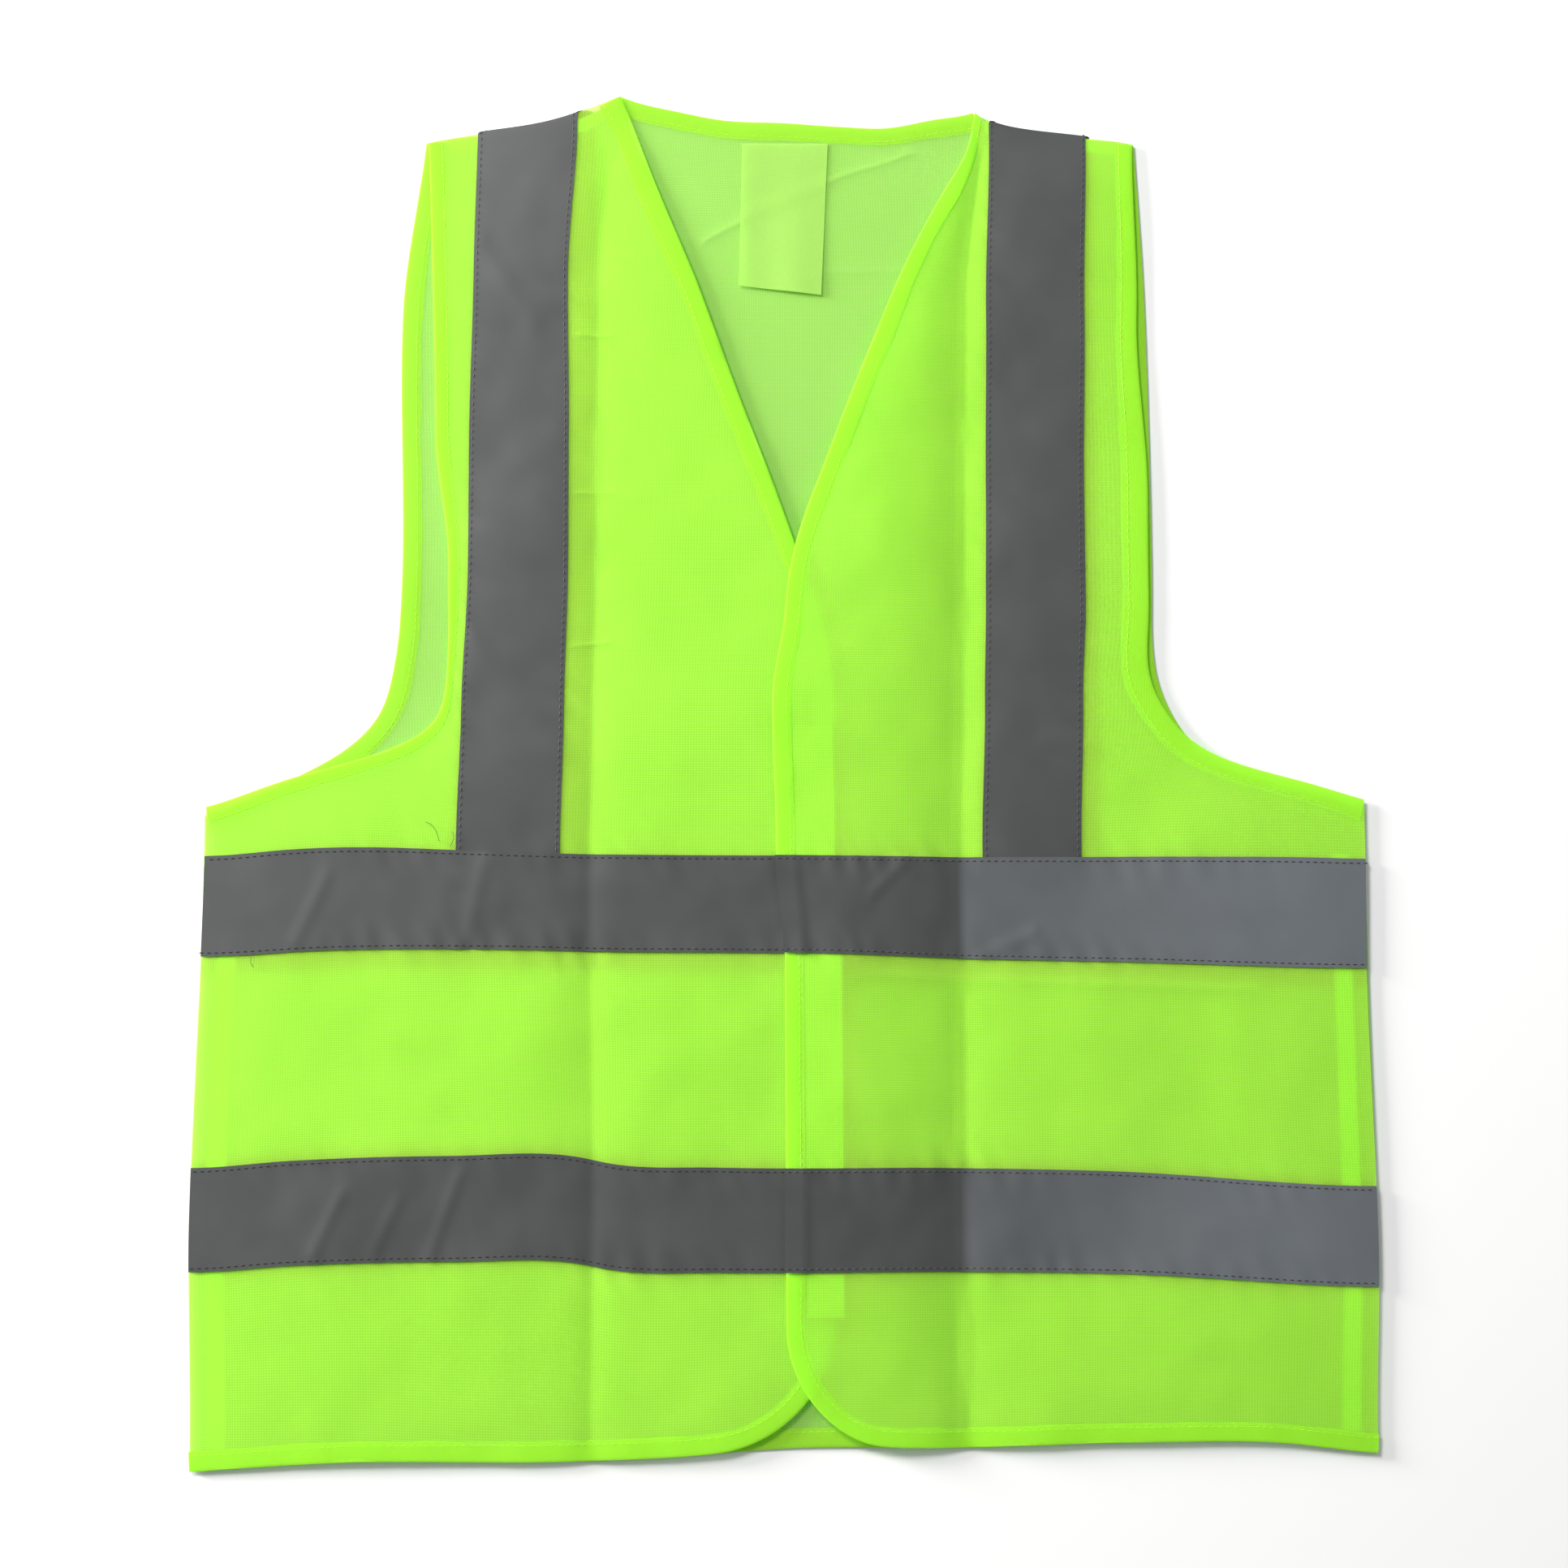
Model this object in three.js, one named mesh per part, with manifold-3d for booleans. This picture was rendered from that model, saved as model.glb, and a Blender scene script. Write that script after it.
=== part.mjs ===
// A sleeveless high visibility vest, laid flat with its front up.
// Millimetres. +X is the wearer's left, +Y runs from the hem to the neck, +Z points out of the front.
// The origin is at the middle of the outline, on the surface that the back lies on.
// "Right" and "left" are the wearer's. The left front laps over the right front.

import Module from "manifold-3d";
import * as THREE from "three";
import { mergeVertices } from "three/addons/utils/BufferGeometryUtils.js";

// The pattern.
const BODY_WIDTH = 578;
const BODY_LENGTH = 690;
const NECK_HALF_WIDTH = 88;
const BACK_NECK_DROP = 16;
const SHOULDER_HALF_WIDTH = 183;
const SHOULDER_DROP = 26;
const UNDERARM_Y = -24;
const CHEST_Y = 75;
const BACK_CHEST_HALF_WIDTH = 188;
const FRONT_CHEST_HALF_WIDTH = 175;
const HEM_RISE = 10; // how far the hem rises from its corners to the middle
const FRONT_CORNER_RADIUS = 57;
const V_RUN = 0.39; // how far the neck's V closes for each millimetre down
const V_ROUNDING = 35; // length of each leg of the bend from the V to the middle edge
const NECK_PULL_X = 0.6; // how far out, as a share of the neck's half width, the neck curve is pulled down
const ARMHOLE_LEAN = 0.7; // the armhole's pulls, as shares of its drop and of its run from shoulder to chest
const SHOULDER_PULL = 0.3;
const CHEST_PULL = 0.35;
const UNDERARM_RUN = 26; // where the armhole starts to turn out to the underarm, past the chest
const UNDERARM_RISE = 22;
const BACK_ARMHOLE_LOW = 5;
const FRONT_ARMHOLE_LOW = 0;
const CLOSURE_X = 9; // the middle of the overlap, as the vest lies
const OVERLAP = 30;
const FOLD_TOP_X = NECK_HALF_WIDTH;
const FOLD_HEM_X = 96;

// Tapes, bindings, closure and label.
const TAPE_WIDTH = 50;
const UPPER_TAPE_Y = -73;
const LOWER_TAPE_Y = -229;
const BRACE_X = 130;
const BINDING_WIDTH = 9;
const SEAM_WIDTH = 9;
const SHOULDER_SEAM_WIDTH = 7;
const SEAM_CLEAR = 1; // between a seam's end and the binding next to it
const STRIP_WIDTH = 20;
const STRIP_TOP_Y = 20;
const STRIP_HEM_Y = -275;
const LABEL_WIDTH = 44;
const LABEL_LENGTH = 78;

// Thicknesses and heights.
const GAP = 0.3;
const PANEL = 0.8;
const BINDING = 1.4;
const TAPE = 0.6;
const STRIP = 0.8;
const LABEL = 0.4;
const TORSO_SPACE = 7;
const FOLD_GAP = 1; // between a front's fixed side and its opening leaf
const BACK_Z = TAPE + GAP;
const BACK_TOP_Z = BACK_Z + PANEL;
const RIGHT_FRONT_Z = BACK_TOP_Z + TORSO_SPACE;
const LOOP_Z = RIGHT_FRONT_Z + PANEL + GAP;
const HOOK_Z = LOOP_Z + STRIP + GAP;
const LEFT_FRONT_Z = HOOK_Z + STRIP + GAP;

// Finishes.
const LIME = { color: 0x8fff1f, roughness: 0.85, metalness: 0 };
const BINDING_LIME = { color: 0xa6ff2e, roughness: 0.8, metalness: 0 };
const REFLECTIVE = { color: 0x5c5c5e, roughness: 0.45, metalness: 0.2 };
const STRIP_LIME = { color: 0x83f520, roughness: 0.95, metalness: 0 };
const LABEL_WHITE = { color: 0xe6ffd0, roughness: 0.7, metalness: 0 };

const CURVE_STEPS = 14;
const HEM_STEPS = 10;
const END_STRETCH = 6;
const MARGIN = 1; // how far a cutting solid reaches past what it cuts
const WELD = 1e-4;
const HALF_WIDTH = BODY_WIDTH / 2;
const TOP_Y = BODY_LENGTH / 2;
const HEM_CORNER_Y = -BODY_LENGTH / 2;
const SHOULDER_Y = TOP_Y - SHOULDER_DROP;

const wasm = await Module();
wasm.setup();
const vest = new THREE.Group();

// ---------------------------------------------------------------- solids

function solidOf(geometry) {
  const bare = geometry.index ? geometry.toNonIndexed() : geometry;
  bare.deleteAttribute("normal");
  bare.deleteAttribute("uv");
  const merged = mergeVertices(bare, WELD);
  const vertProperties = Float32Array.from(merged.attributes.position.array);
  const triVerts = Uint32Array.from(merged.index.array);
  return new wasm.Manifold(new wasm.Mesh({ numProp: 3, vertProperties, triVerts }));
}

function geometryOf(solid) {
  const { vertProperties, triVerts } = solid.getMesh();
  const geometry = new THREE.BufferGeometry();
  geometry.setAttribute("position", new THREE.BufferAttribute(vertProperties, 3));
  geometry.setIndex(new THREE.BufferAttribute(triVerts, 1));
  return geometry;
}

/** The outline, extruded from the height low to the height high. */
function prism(points, low, high) {
  const shape = new THREE.Shape(points);
  const geometry = new THREE.ExtrudeGeometry(shape, { depth: high - low, bevelEnabled: false });
  geometry.translate(0, 0, low);
  return solidOf(geometry);
}

function rectangle(lowX, highX, lowY, highY) {
  return [
    new THREE.Vector2(lowX, lowY),
    new THREE.Vector2(highX, lowY),
    new THREE.Vector2(highX, highY),
    new THREE.Vector2(lowX, highY),
  ];
}

/** A box between two x, in either order, two y and two z. */
function block(xs, lowY, highY, low, high) {
  return prism(rectangle(Math.min(...xs), Math.max(...xs), lowY, highY), low, high);
}

function addPiece(name, solid, finish) {
  const mesh = new THREE.Mesh(geometryOf(solid), new THREE.MeshStandardMaterial(finish));
  mesh.name = name;
  vest.add(mesh);
}

// ---------------------------------------------------------------- edges, drawn on the wearer's left

function mirrored(points, side) {
  return points.map((point) => new THREE.Vector2(point.x * side, point.y));
}

function hemY(x) {
  return HEM_CORNER_Y + HEM_RISE * (1 - (x / HALF_WIDTH) ** 2);
}

function shoulderY(x) {
  return TOP_Y - (SHOULDER_DROP * (x - NECK_HALF_WIDTH)) / (SHOULDER_HALF_WIDTH - NECK_HALF_WIDTH);
}

function hemPoints(fromX, toX) {
  const points = [];
  for (let step = 0; step <= HEM_STEPS; step += 1) {
    const x = THREE.MathUtils.lerp(fromX, toX, step / HEM_STEPS);
    points.push(new THREE.Vector2(x, hemY(x)));
  }
  return points;
}

/** The middle of the curve comes three quarters of the way down to its two pulls. */
function backNeckPoints() {
  const pullX = NECK_HALF_WIDTH * NECK_PULL_X;
  const pullY = TOP_Y - (BACK_NECK_DROP * 4) / 3;
  const neck = new THREE.Path();
  neck.moveTo(-NECK_HALF_WIDTH, TOP_Y);
  neck.bezierCurveTo(-pullX, pullY, pullX, pullY, NECK_HALF_WIDTH, TOP_Y);
  return neck.getPoints(CURVE_STEPS);
}

/** From the shoulder's end down to the underarm. The back's is shallower than the front's. */
function armholePoints(chestX, low) {
  const armhole = new THREE.Path();
  const drop = SHOULDER_Y - CHEST_Y;
  armhole.moveTo(SHOULDER_HALF_WIDTH, SHOULDER_Y);
  armhole.bezierCurveTo(
    THREE.MathUtils.lerp(SHOULDER_HALF_WIDTH, chestX, ARMHOLE_LEAN),
    SHOULDER_Y - drop * SHOULDER_PULL,
    chestX,
    CHEST_Y + drop * CHEST_PULL,
    chestX,
    CHEST_Y,
  );
  const turnX = chestX + UNDERARM_RUN;
  const turnY = UNDERARM_Y + UNDERARM_RISE - low;
  armhole.bezierCurveTo(chestX, low, turnX, turnY, HALF_WIDTH, UNDERARM_Y);
  return armhole.getPoints(CURVE_STEPS);
}

const backArmhole = armholePoints(BACK_CHEST_HALF_WIDTH, BACK_ARMHOLE_LOW);
const frontArmhole = armholePoints(FRONT_CHEST_HALF_WIDTH, FRONT_ARMHOLE_LOW);

/** The middle edge of a front, on its own side's drawing. The right front reaches further past the middle. */
function middleX(side) {
  return side * (CLOSURE_X - (side * OVERLAP) / 2);
}

/** From the neck point down the V, the middle edge and the round corner, and along the hem to the side. */
function frontEdgePoints(side) {
  const edgeX = middleX(side);
  const bendY = TOP_Y - (NECK_HALF_WIDTH - edgeX) / V_RUN;
  const slant = new THREE.Vector2(V_RUN, 1).setLength(V_ROUNDING);
  const cornerX = edgeX + FRONT_CORNER_RADIUS;
  const cornerY = hemY(0) + FRONT_CORNER_RADIUS;
  const edge = new THREE.Path();
  edge.moveTo(NECK_HALF_WIDTH, TOP_Y);
  edge.lineTo(edgeX + slant.x, bendY + slant.y);
  edge.quadraticCurveTo(edgeX, bendY, edgeX, bendY - V_ROUNDING);
  edge.lineTo(edgeX, cornerY);
  edge.absarc(cornerX, cornerY, FRONT_CORNER_RADIUS, Math.PI, Math.PI * 1.5, false);
  return edge.getPoints(CURVE_STEPS).concat(hemPoints(cornerX, HALF_WIDTH).slice(1));
}

function backOutline() {
  const left = backArmhole.concat(hemPoints(HALF_WIDTH, 0));
  const right = mirrored(left, -1).reverse().slice(1);
  return left.concat(right, backNeckPoints());
}

function frontOutline(side) {
  return frontEdgePoints(side).concat([...frontArmhole].reverse());
}

// ---------------------------------------------------------------- strips along an edge

/** The points, with both ends carried on in a straight line, so that a strip runs past its outline. */
function stretched(points) {
  const [first, second] = points;
  const [beforeLast, last] = points.slice(-2);
  const start = first.clone().sub(second).setLength(END_STRETCH).add(first);
  const end = last.clone().sub(beforeLast).setLength(END_STRETCH).add(last);
  return [start, ...points, end];
}

/** The points moved sideways: to the left of the way they run where by is above zero. */
function shifted(points, by) {
  return points.map((point, at) => {
    const before = points[Math.max(at - 1, 0)];
    const after = points[Math.min(at + 1, points.length - 1)];
    const along = after.clone().sub(before).normalize();
    return new THREE.Vector2(point.x - along.y * by, point.y + along.x * by);
  });
}

function stripOutline(points, near, far) {
  const line = stretched(points);
  return shifted(line, near).concat(shifted(line, far).reverse());
}

/** What is bound along an edge. inward is 1 where the cloth lies to the left of the way the edge runs. */
function bindingOn(outline, edge, inward, low, high) {
  const strip = prism(stripOutline(edge, -END_STRETCH * inward, BINDING_WIDTH * inward), low, high);
  return prism(outline, low, high).intersect(strip);
}

/** The panel without what its binding takes up. */
function trimmed(panel, edge, inward, low, high) {
  const reach = (BINDING_WIDTH + GAP) * inward;
  return panel.subtract(prism(stripOutline(edge, -END_STRETCH * inward, reach), low - MARGIN, high + MARGIN));
}

// ---------------------------------------------------------------- the fold of each front

function foldX(y) {
  return THREE.MathUtils.lerp(FOLD_HEM_X, FOLD_TOP_X, (y - HEM_CORNER_Y) / BODY_LENGTH);
}

/** Everything on one side of a front's fold: the leaf that opens, or the side that stays. */
function besideFold(side, isLeaf) {
  const far = isLeaf ? -BODY_WIDTH : BODY_WIDTH;
  const away = isLeaf ? -FOLD_GAP / 2 : FOLD_GAP / 2;
  const points = [
    new THREE.Vector2(foldX(-BODY_LENGTH) + away, -BODY_LENGTH),
    new THREE.Vector2(foldX(BODY_LENGTH) + away, BODY_LENGTH),
    new THREE.Vector2(far, BODY_LENGTH),
    new THREE.Vector2(far, -BODY_LENGTH),
  ];
  return prism(mirrored(points, side), -MARGIN, 2 * LEFT_FRONT_Z);
}

// ---------------------------------------------------------------- the back

function makeBack() {
  const high = BACK_Z + BINDING;
  const outline = backOutline();
  const hem = hemPoints(-HALF_WIDTH, HALF_WIDTH);
  let panel = prism(outline, BACK_Z, BACK_TOP_Z);
  panel = trimmed(panel, backNeckPoints(), -1, BACK_Z, high);
  panel = trimmed(panel, hem, 1, BACK_Z, high);
  for (const side of [-1, 1]) {
    panel = trimmed(panel, mirrored(backArmhole, side), -side, BACK_Z, high);
  }
  addPiece("back_panel", panel, LIME);
  addPiece("back_hem_binding", bindingOn(outline, hem, 1, BACK_Z, high), BINDING_LIME);
  const across = [-HALF_WIDTH, HALF_WIDTH];
  for (const [name, y] of [["upper", UPPER_TAPE_Y], ["lower", LOWER_TAPE_Y]]) {
    const tape = block(across, y - TAPE_WIDTH / 2, y + TAPE_WIDTH / 2, 0, TAPE);
    addPiece(`back_${name}_tape`, tape, REFLECTIVE);
  }
}

function makeLabel() {
  const top = TOP_Y - BACK_NECK_DROP - BINDING_WIDTH - GAP;
  const low = BACK_TOP_Z + GAP;
  const across = [-LABEL_WIDTH / 2, LABEL_WIDTH / 2];
  addPiece("care_label", block(across, top - LABEL_LENGTH, top, low, low + LABEL), LABEL_WHITE);
}

// ---------------------------------------------------------------- the fronts

function frontName(side) {
  return side < 0 ? "right" : "left";
}

function frontZ(side) {
  return side < 0 ? RIGHT_FRONT_Z : LEFT_FRONT_Z;
}

/** A front's tape ends at its middle edge, and the right front's at the loop strip that lies on that edge. */
function frontTape(side, y) {
  const low = frontZ(side) + PANEL + GAP;
  const end = side < 0 ? middleX(side) + STRIP_WIDTH + GAP : middleX(side);
  const across = [end * side, HALF_WIDTH * side];
  return block(across, y - TAPE_WIDTH / 2, y + TAPE_WIDTH / 2, low, low + TAPE);
}

function makeFront(side) {
  const name = `front_${frontName(side)}`;
  const low = frontZ(side);
  const high = low + PANEL;
  const bindingLow = high - BINDING;
  const outline = mirrored(frontOutline(side), side);
  const edge = mirrored(frontEdgePoints(side), side);
  const armhole = mirrored(frontArmhole, side);
  let panel = prism(outline, low, high);
  panel = trimmed(panel, edge, side, bindingLow, high);
  panel = trimmed(panel, armhole, -side, bindingLow, high);
  const edgeBinding = bindingOn(outline, edge, side, bindingLow, high);
  const leafSide = besideFold(side, true);
  const fixedSide = besideFold(side, false);
  const belowChest = block([-BODY_WIDTH, BODY_WIDTH], -BODY_LENGTH, 0, -MARGIN, high + MARGIN);

  addPiece(`${name}_side_panel`, panel.intersect(fixedSide), LIME);
  addPiece(`${name}_leaf_panel`, panel.intersect(leafSide), LIME);
  addPiece(`${name}_hem_binding`, edgeBinding.intersect(fixedSide).intersect(belowChest), BINDING_LIME);
  addPiece(`${name}_edge_binding`, edgeBinding.intersect(leafSide), BINDING_LIME);
  for (const [level, y] of [["upper", UPPER_TAPE_Y], ["lower", LOWER_TAPE_Y]]) {
    const tape = frontTape(side, y);
    addPiece(`${name}_${level}_side_tape`, tape.intersect(fixedSide), REFLECTIVE);
    addPiece(`${name}_${level}_leaf_tape`, tape.intersect(leafSide), REFLECTIVE);
  }
}

function makeClosure() {
  const edgeX = -middleX(-1);
  const across = [edgeX - STRIP_WIDTH, edgeX];
  addPiece("loop_strip", block(across, STRIP_HEM_Y, STRIP_TOP_Y, LOOP_Z, LOOP_Z + STRIP), STRIP_LIME);
  addPiece("hook_strip", block(across, STRIP_HEM_Y, STRIP_TOP_Y, HOOK_Z, HOOK_Z + STRIP), STRIP_LIME);
}

// ---------------------------------------------------------------- what joins the back to the fronts

/** The neck's binding: along the back neck, round both neck points and onto the head of each front's edge. */
function makeNeckBinding() {
  const outline = backOutline();
  const along = backNeckPoints();
  let binding = bindingOn(outline, along, -1, BACK_Z, BACK_Z + BINDING);
  for (const side of [-1, 1]) {
    const high = frontZ(side) + PANEL;
    const front = mirrored(frontOutline(side), side);
    const edge = mirrored(frontEdgePoints(side), side);
    const aboveChest = block([-BODY_WIDTH, BODY_WIDTH], 0, BODY_LENGTH, -MARGIN, high + MARGIN);
    const head = besideFold(side, false).intersect(aboveChest);
    const onFront = bindingOn(front, edge, side, high - BINDING, high).intersect(head);
    const corner = bindingOn(front, edge, side, BACK_Z, high).intersect(head);
    const post = corner.intersect(bindingOn(outline, along, -1, BACK_Z, high));
    binding = binding.add(onFront).add(post);
  }
  addPiece("neck_binding", binding, BINDING_LIME);
}

/** An armhole's binding: a closed loop along the back edge and the front edge. */
function makeArmholeBinding(side) {
  const high = frontZ(side) + PANEL;
  const back = mirrored(backOutline(), side);
  const front = mirrored(frontOutline(side), side);
  const backEdge = mirrored(backArmhole, side);
  const frontEdge = mirrored(frontArmhole, side);
  const along = bindingOn(back, backEdge, -side, BACK_Z, BACK_Z + BINDING);
  const onFront = bindingOn(front, frontEdge, -side, high - BINDING, high);
  const shared = bindingOn(back, backEdge, -side, BACK_Z, high)
    .intersect(bindingOn(front, frontEdge, -side, BACK_Z, high));
  const ends = block([0, HALF_WIDTH * side], SHOULDER_Y - BINDING_WIDTH, TOP_Y, BACK_Z, high)
    .add(block([(HALF_WIDTH - SEAM_WIDTH) * side, HALF_WIDTH * side], -BODY_LENGTH, 0, BACK_Z, high));
  const whole = along.add(onFront).add(shared.intersect(ends));
  addPiece(`${frontName(side)}_armhole_binding`, whole, BINDING_LIME);
}

/** A reflective tape that runs up a front, over the shoulder and down the back. */
function makeBrace(side) {
  const high = frontZ(side) + PANEL + GAP + TAPE;
  const lowX = BRACE_X - TAPE_WIDTH / 2;
  const highX = BRACE_X + TAPE_WIDTH / 2;
  const foot = UPPER_TAPE_Y + TAPE_WIDTH / 2 + GAP;
  const whole = [
    new THREE.Vector2(lowX, foot),
    new THREE.Vector2(highX, foot),
    new THREE.Vector2(highX, shoulderY(highX) + GAP + TAPE),
    new THREE.Vector2(lowX, shoulderY(lowX) + GAP + TAPE),
  ];
  const inside = [
    new THREE.Vector2(lowX - MARGIN, foot - MARGIN),
    new THREE.Vector2(highX + MARGIN, foot - MARGIN),
    new THREE.Vector2(highX + MARGIN, shoulderY(highX + MARGIN) + GAP),
    new THREE.Vector2(lowX - MARGIN, shoulderY(lowX - MARGIN) + GAP),
  ];
  const brace = prism(mirrored(whole, side), 0, high)
    .subtract(prism(mirrored(inside, side), TAPE, high - TAPE));
  addPiece(`${frontName(side)}_brace_tape`, brace, REFLECTIVE);
}

/** The seam allowances, which lie inside, between the back and a front. */
function makeSeams(side) {
  const low = BACK_TOP_Z + GAP;
  const high = frontZ(side) - GAP;
  const name = frontName(side);
  const sideTop = UNDERARM_Y - 2 * BINDING_WIDTH;
  const sideHem = HEM_CORNER_Y + BINDING_WIDTH + SEAM_CLEAR;
  const across = [(HALF_WIDTH - SEAM_WIDTH) * side, HALF_WIDTH * side];
  const startX = NECK_HALF_WIDTH + BINDING_WIDTH + SEAM_CLEAR;
  const endX = SHOULDER_HALF_WIDTH - BINDING_WIDTH - SEAM_CLEAR;
  const shoulder = [
    new THREE.Vector2(startX, shoulderY(startX)),
    new THREE.Vector2(endX, shoulderY(endX)),
    new THREE.Vector2(endX, shoulderY(endX) - SHOULDER_SEAM_WIDTH),
    new THREE.Vector2(startX, shoulderY(startX) - SHOULDER_SEAM_WIDTH),
  ];
  addPiece(`${name}_side_seam`, block(across, sideHem, sideTop, low, high), LIME);
  addPiece(`${name}_shoulder_seam`, prism(mirrored(shoulder, side), low, high), LIME);
}

makeBack();
makeLabel();
makeNeckBinding();
for (const side of [-1, 1]) {
  makeFront(side);
  makeArmholeBinding(side);
  makeBrace(side);
  makeSeams(side);
}
makeClosure();

export default vest;
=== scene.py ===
"""A high visibility vest, laid flat on a white surface with its front up."""
import math

import bpy
import numpy as np
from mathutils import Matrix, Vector, noise
from mathutils.geometry import delaunay_2d_cdt


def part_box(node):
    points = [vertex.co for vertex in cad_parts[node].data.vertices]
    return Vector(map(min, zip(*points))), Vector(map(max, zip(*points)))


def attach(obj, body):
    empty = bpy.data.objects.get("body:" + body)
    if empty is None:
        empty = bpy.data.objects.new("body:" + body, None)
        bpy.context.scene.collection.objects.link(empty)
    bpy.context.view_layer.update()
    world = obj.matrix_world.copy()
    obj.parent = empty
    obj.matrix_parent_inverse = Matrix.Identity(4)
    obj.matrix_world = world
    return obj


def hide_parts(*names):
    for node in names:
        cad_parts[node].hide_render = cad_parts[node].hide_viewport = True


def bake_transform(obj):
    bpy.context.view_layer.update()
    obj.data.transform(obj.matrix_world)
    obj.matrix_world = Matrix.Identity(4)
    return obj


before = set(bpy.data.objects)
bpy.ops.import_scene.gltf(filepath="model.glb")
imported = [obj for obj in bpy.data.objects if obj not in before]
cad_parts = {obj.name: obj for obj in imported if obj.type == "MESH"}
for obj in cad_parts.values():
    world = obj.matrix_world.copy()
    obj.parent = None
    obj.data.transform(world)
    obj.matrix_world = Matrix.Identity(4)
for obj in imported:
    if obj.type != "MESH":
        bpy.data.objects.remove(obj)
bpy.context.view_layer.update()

# Lengths are in millimetres in the vest's own frame, and become metres where a mesh is made.
# Side -1 is the wearer's right, at -X, and side 1 the wearer's left, at +X.
# A layer is "back", "right" for the right front, or "left" for the left front.
MM = 0.001
TINY = 1e-9  # keeps a division by nothing from failing
SIDES = (-1, 1)
NAME = {-1: "right", 1: "left"}


def box_mm(node):
    low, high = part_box(node)
    return np.array(low) / MM, np.array(high) / MM


def middle_of(node):
    low, high = box_mm(node)
    return (low + high) / 2


# ------------ sizes of the pattern

HALF_WIDTH = box_mm("back_hem_binding")[1][0]
HEM_CORNER_Y = box_mm("back_hem_binding")[0][1]
TOP_Y = -HEM_CORNER_Y
SHOULDER_Y = box_mm("left_armhole_binding")[1][1]
OVER_EDGE_X = box_mm("front_left_edge_binding")[0][0]
UNDER_EDGE_X = box_mm("front_right_edge_binding")[1][0]
UPPER_LOW, UPPER_HIGH = box_mm("back_upper_tape")
TAPE_WIDTH = UPPER_HIGH[1] - UPPER_LOW[1]
TAPE_LEVELS = {"upper": middle_of("back_upper_tape")[1], "lower": middle_of("back_lower_tape")[1]}
BRACE_X = middle_of("left_brace_tape")[0]
STRIP_LOW, STRIP_HIGH = box_mm("hook_strip")
LABEL_LOW, LABEL_HIGH = box_mm("care_label")
SEAM_LOW, SEAM_HIGH = box_mm("left_side_seam")
HEM_RISE = 10.0  # how far the hem rises from its corners to the middle
UNDERARM_Y = -24.0
UNDERARM_RUN = 26.0  # where the armhole starts to turn out to the underarm, past the chest
UNDERARM_RISE = 22.0
CHEST_Y = 75.0
CHEST_X = {"back": 188.0, "front": 175.0}
ARMHOLE_LOW = {"back": 5.0, "front": 0.0}
ARMHOLE_LEAN = 0.7  # the armhole's pulls, as shares of its run from shoulder to chest and of its drop
SHOULDER_PULL = 0.3
CHEST_PULL = 0.35
NECK_X = 88.0
NECK_DROP = 16.0
NECK_PULL_X = 0.6  # how far out, as a share of the neck's half width, the neck curve is pulled down
SHOULDER_X = 183.0
V_RUN = 0.39  # how far the neck's V closes for each millimetre down
V_ROUNDING = 35.0  # length of each leg of the bend from the V to the middle edge
CORNER_RADIUS = 57.0
BINDING_WIDTH = 9.0
SHOULDER_SEAM_WIDTH = 7.0
SIDE_SEAM_IN = 8.0  # how far the side seams lie in from the vest's edge
FOLD_X = 92.0
FOLD_REACH = 9.0  # the cloth turns within this far of its fold line

# Thicknesses, and steps between the points of a mesh.
CLOTH = 0.3
TAPE = 0.3
STRIP = 0.9
LABEL = 0.2
SKIN_GAP = 0.02  # between a tape and the cloth that it is sewn on
PILE_GAP = 0.05  # between a fastener strip and its cloth
GRID = 5.0
FOLD_STEP = 1.5
EDGE_STEP = 4.0
TAPE_STEP = 2.0
BRACE_STEP = 4.0
TAPE_ROWS = 17  # points across a tape
BACK_TAPE_ROWS = 13
CURVE_STEPS = 28
CORNER_STEPS = 24
HEM_STEPS = 40
TAPE_PAST_EDGE = 1.0  # how far a front tape covers the side of the binding it ends on

# ------------ camera and light

CAMERA_ELEVATION = math.radians(82.0)
CAMERA_DISTANCE = 1.4
CAMERA_AIM = Vector((-0.0005, -0.0122, 0.006))
CAMERA_LENS = 64.7
FLOOR_HALF = 6.0
SKY_STRENGTH = 0.38
WARM = (1.0, 0.99, 0.97)
COOL = (0.8, 0.9, 1.0)
# Each lamp's name, place, size, watts and colour. The low one brings out the folds.
LAMPS = (
    ("key", (-1.4, 1.6, 1.9), 0.9, 96, WARM),
    ("low", (-2.5, 1.0, 0.55), 0.7, 200, WARM),
    ("cool", (1.3, 0.5, 1.6), 0.9, 5, COOL),
)


def aim(thing, place, target):
    thing.location = place
    thing.rotation_mode = "QUATERNION"
    thing.rotation_quaternion = (Vector(target) - Vector(place)).to_track_quat("-Z", "Y")


def placed(name, data):
    thing = bpy.data.objects.new(name, data)
    bpy.context.scene.collection.objects.link(thing)
    return thing


def make_camera():
    data = bpy.data.cameras.new("camera")
    data.lens = CAMERA_LENS
    camera = placed("camera", data)
    back = Vector((0.0, -math.cos(CAMERA_ELEVATION), math.sin(CAMERA_ELEVATION)))
    aim(camera, CAMERA_AIM + back * CAMERA_DISTANCE, CAMERA_AIM)
    bpy.context.scene.camera = camera


def soft_light(name, place, size, power, colour):
    data = bpy.data.lights.new(name, "AREA")
    data.size = size
    data.energy = power
    data.color = colour
    aim(placed(name, data), place, (0, 0, 0))


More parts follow.
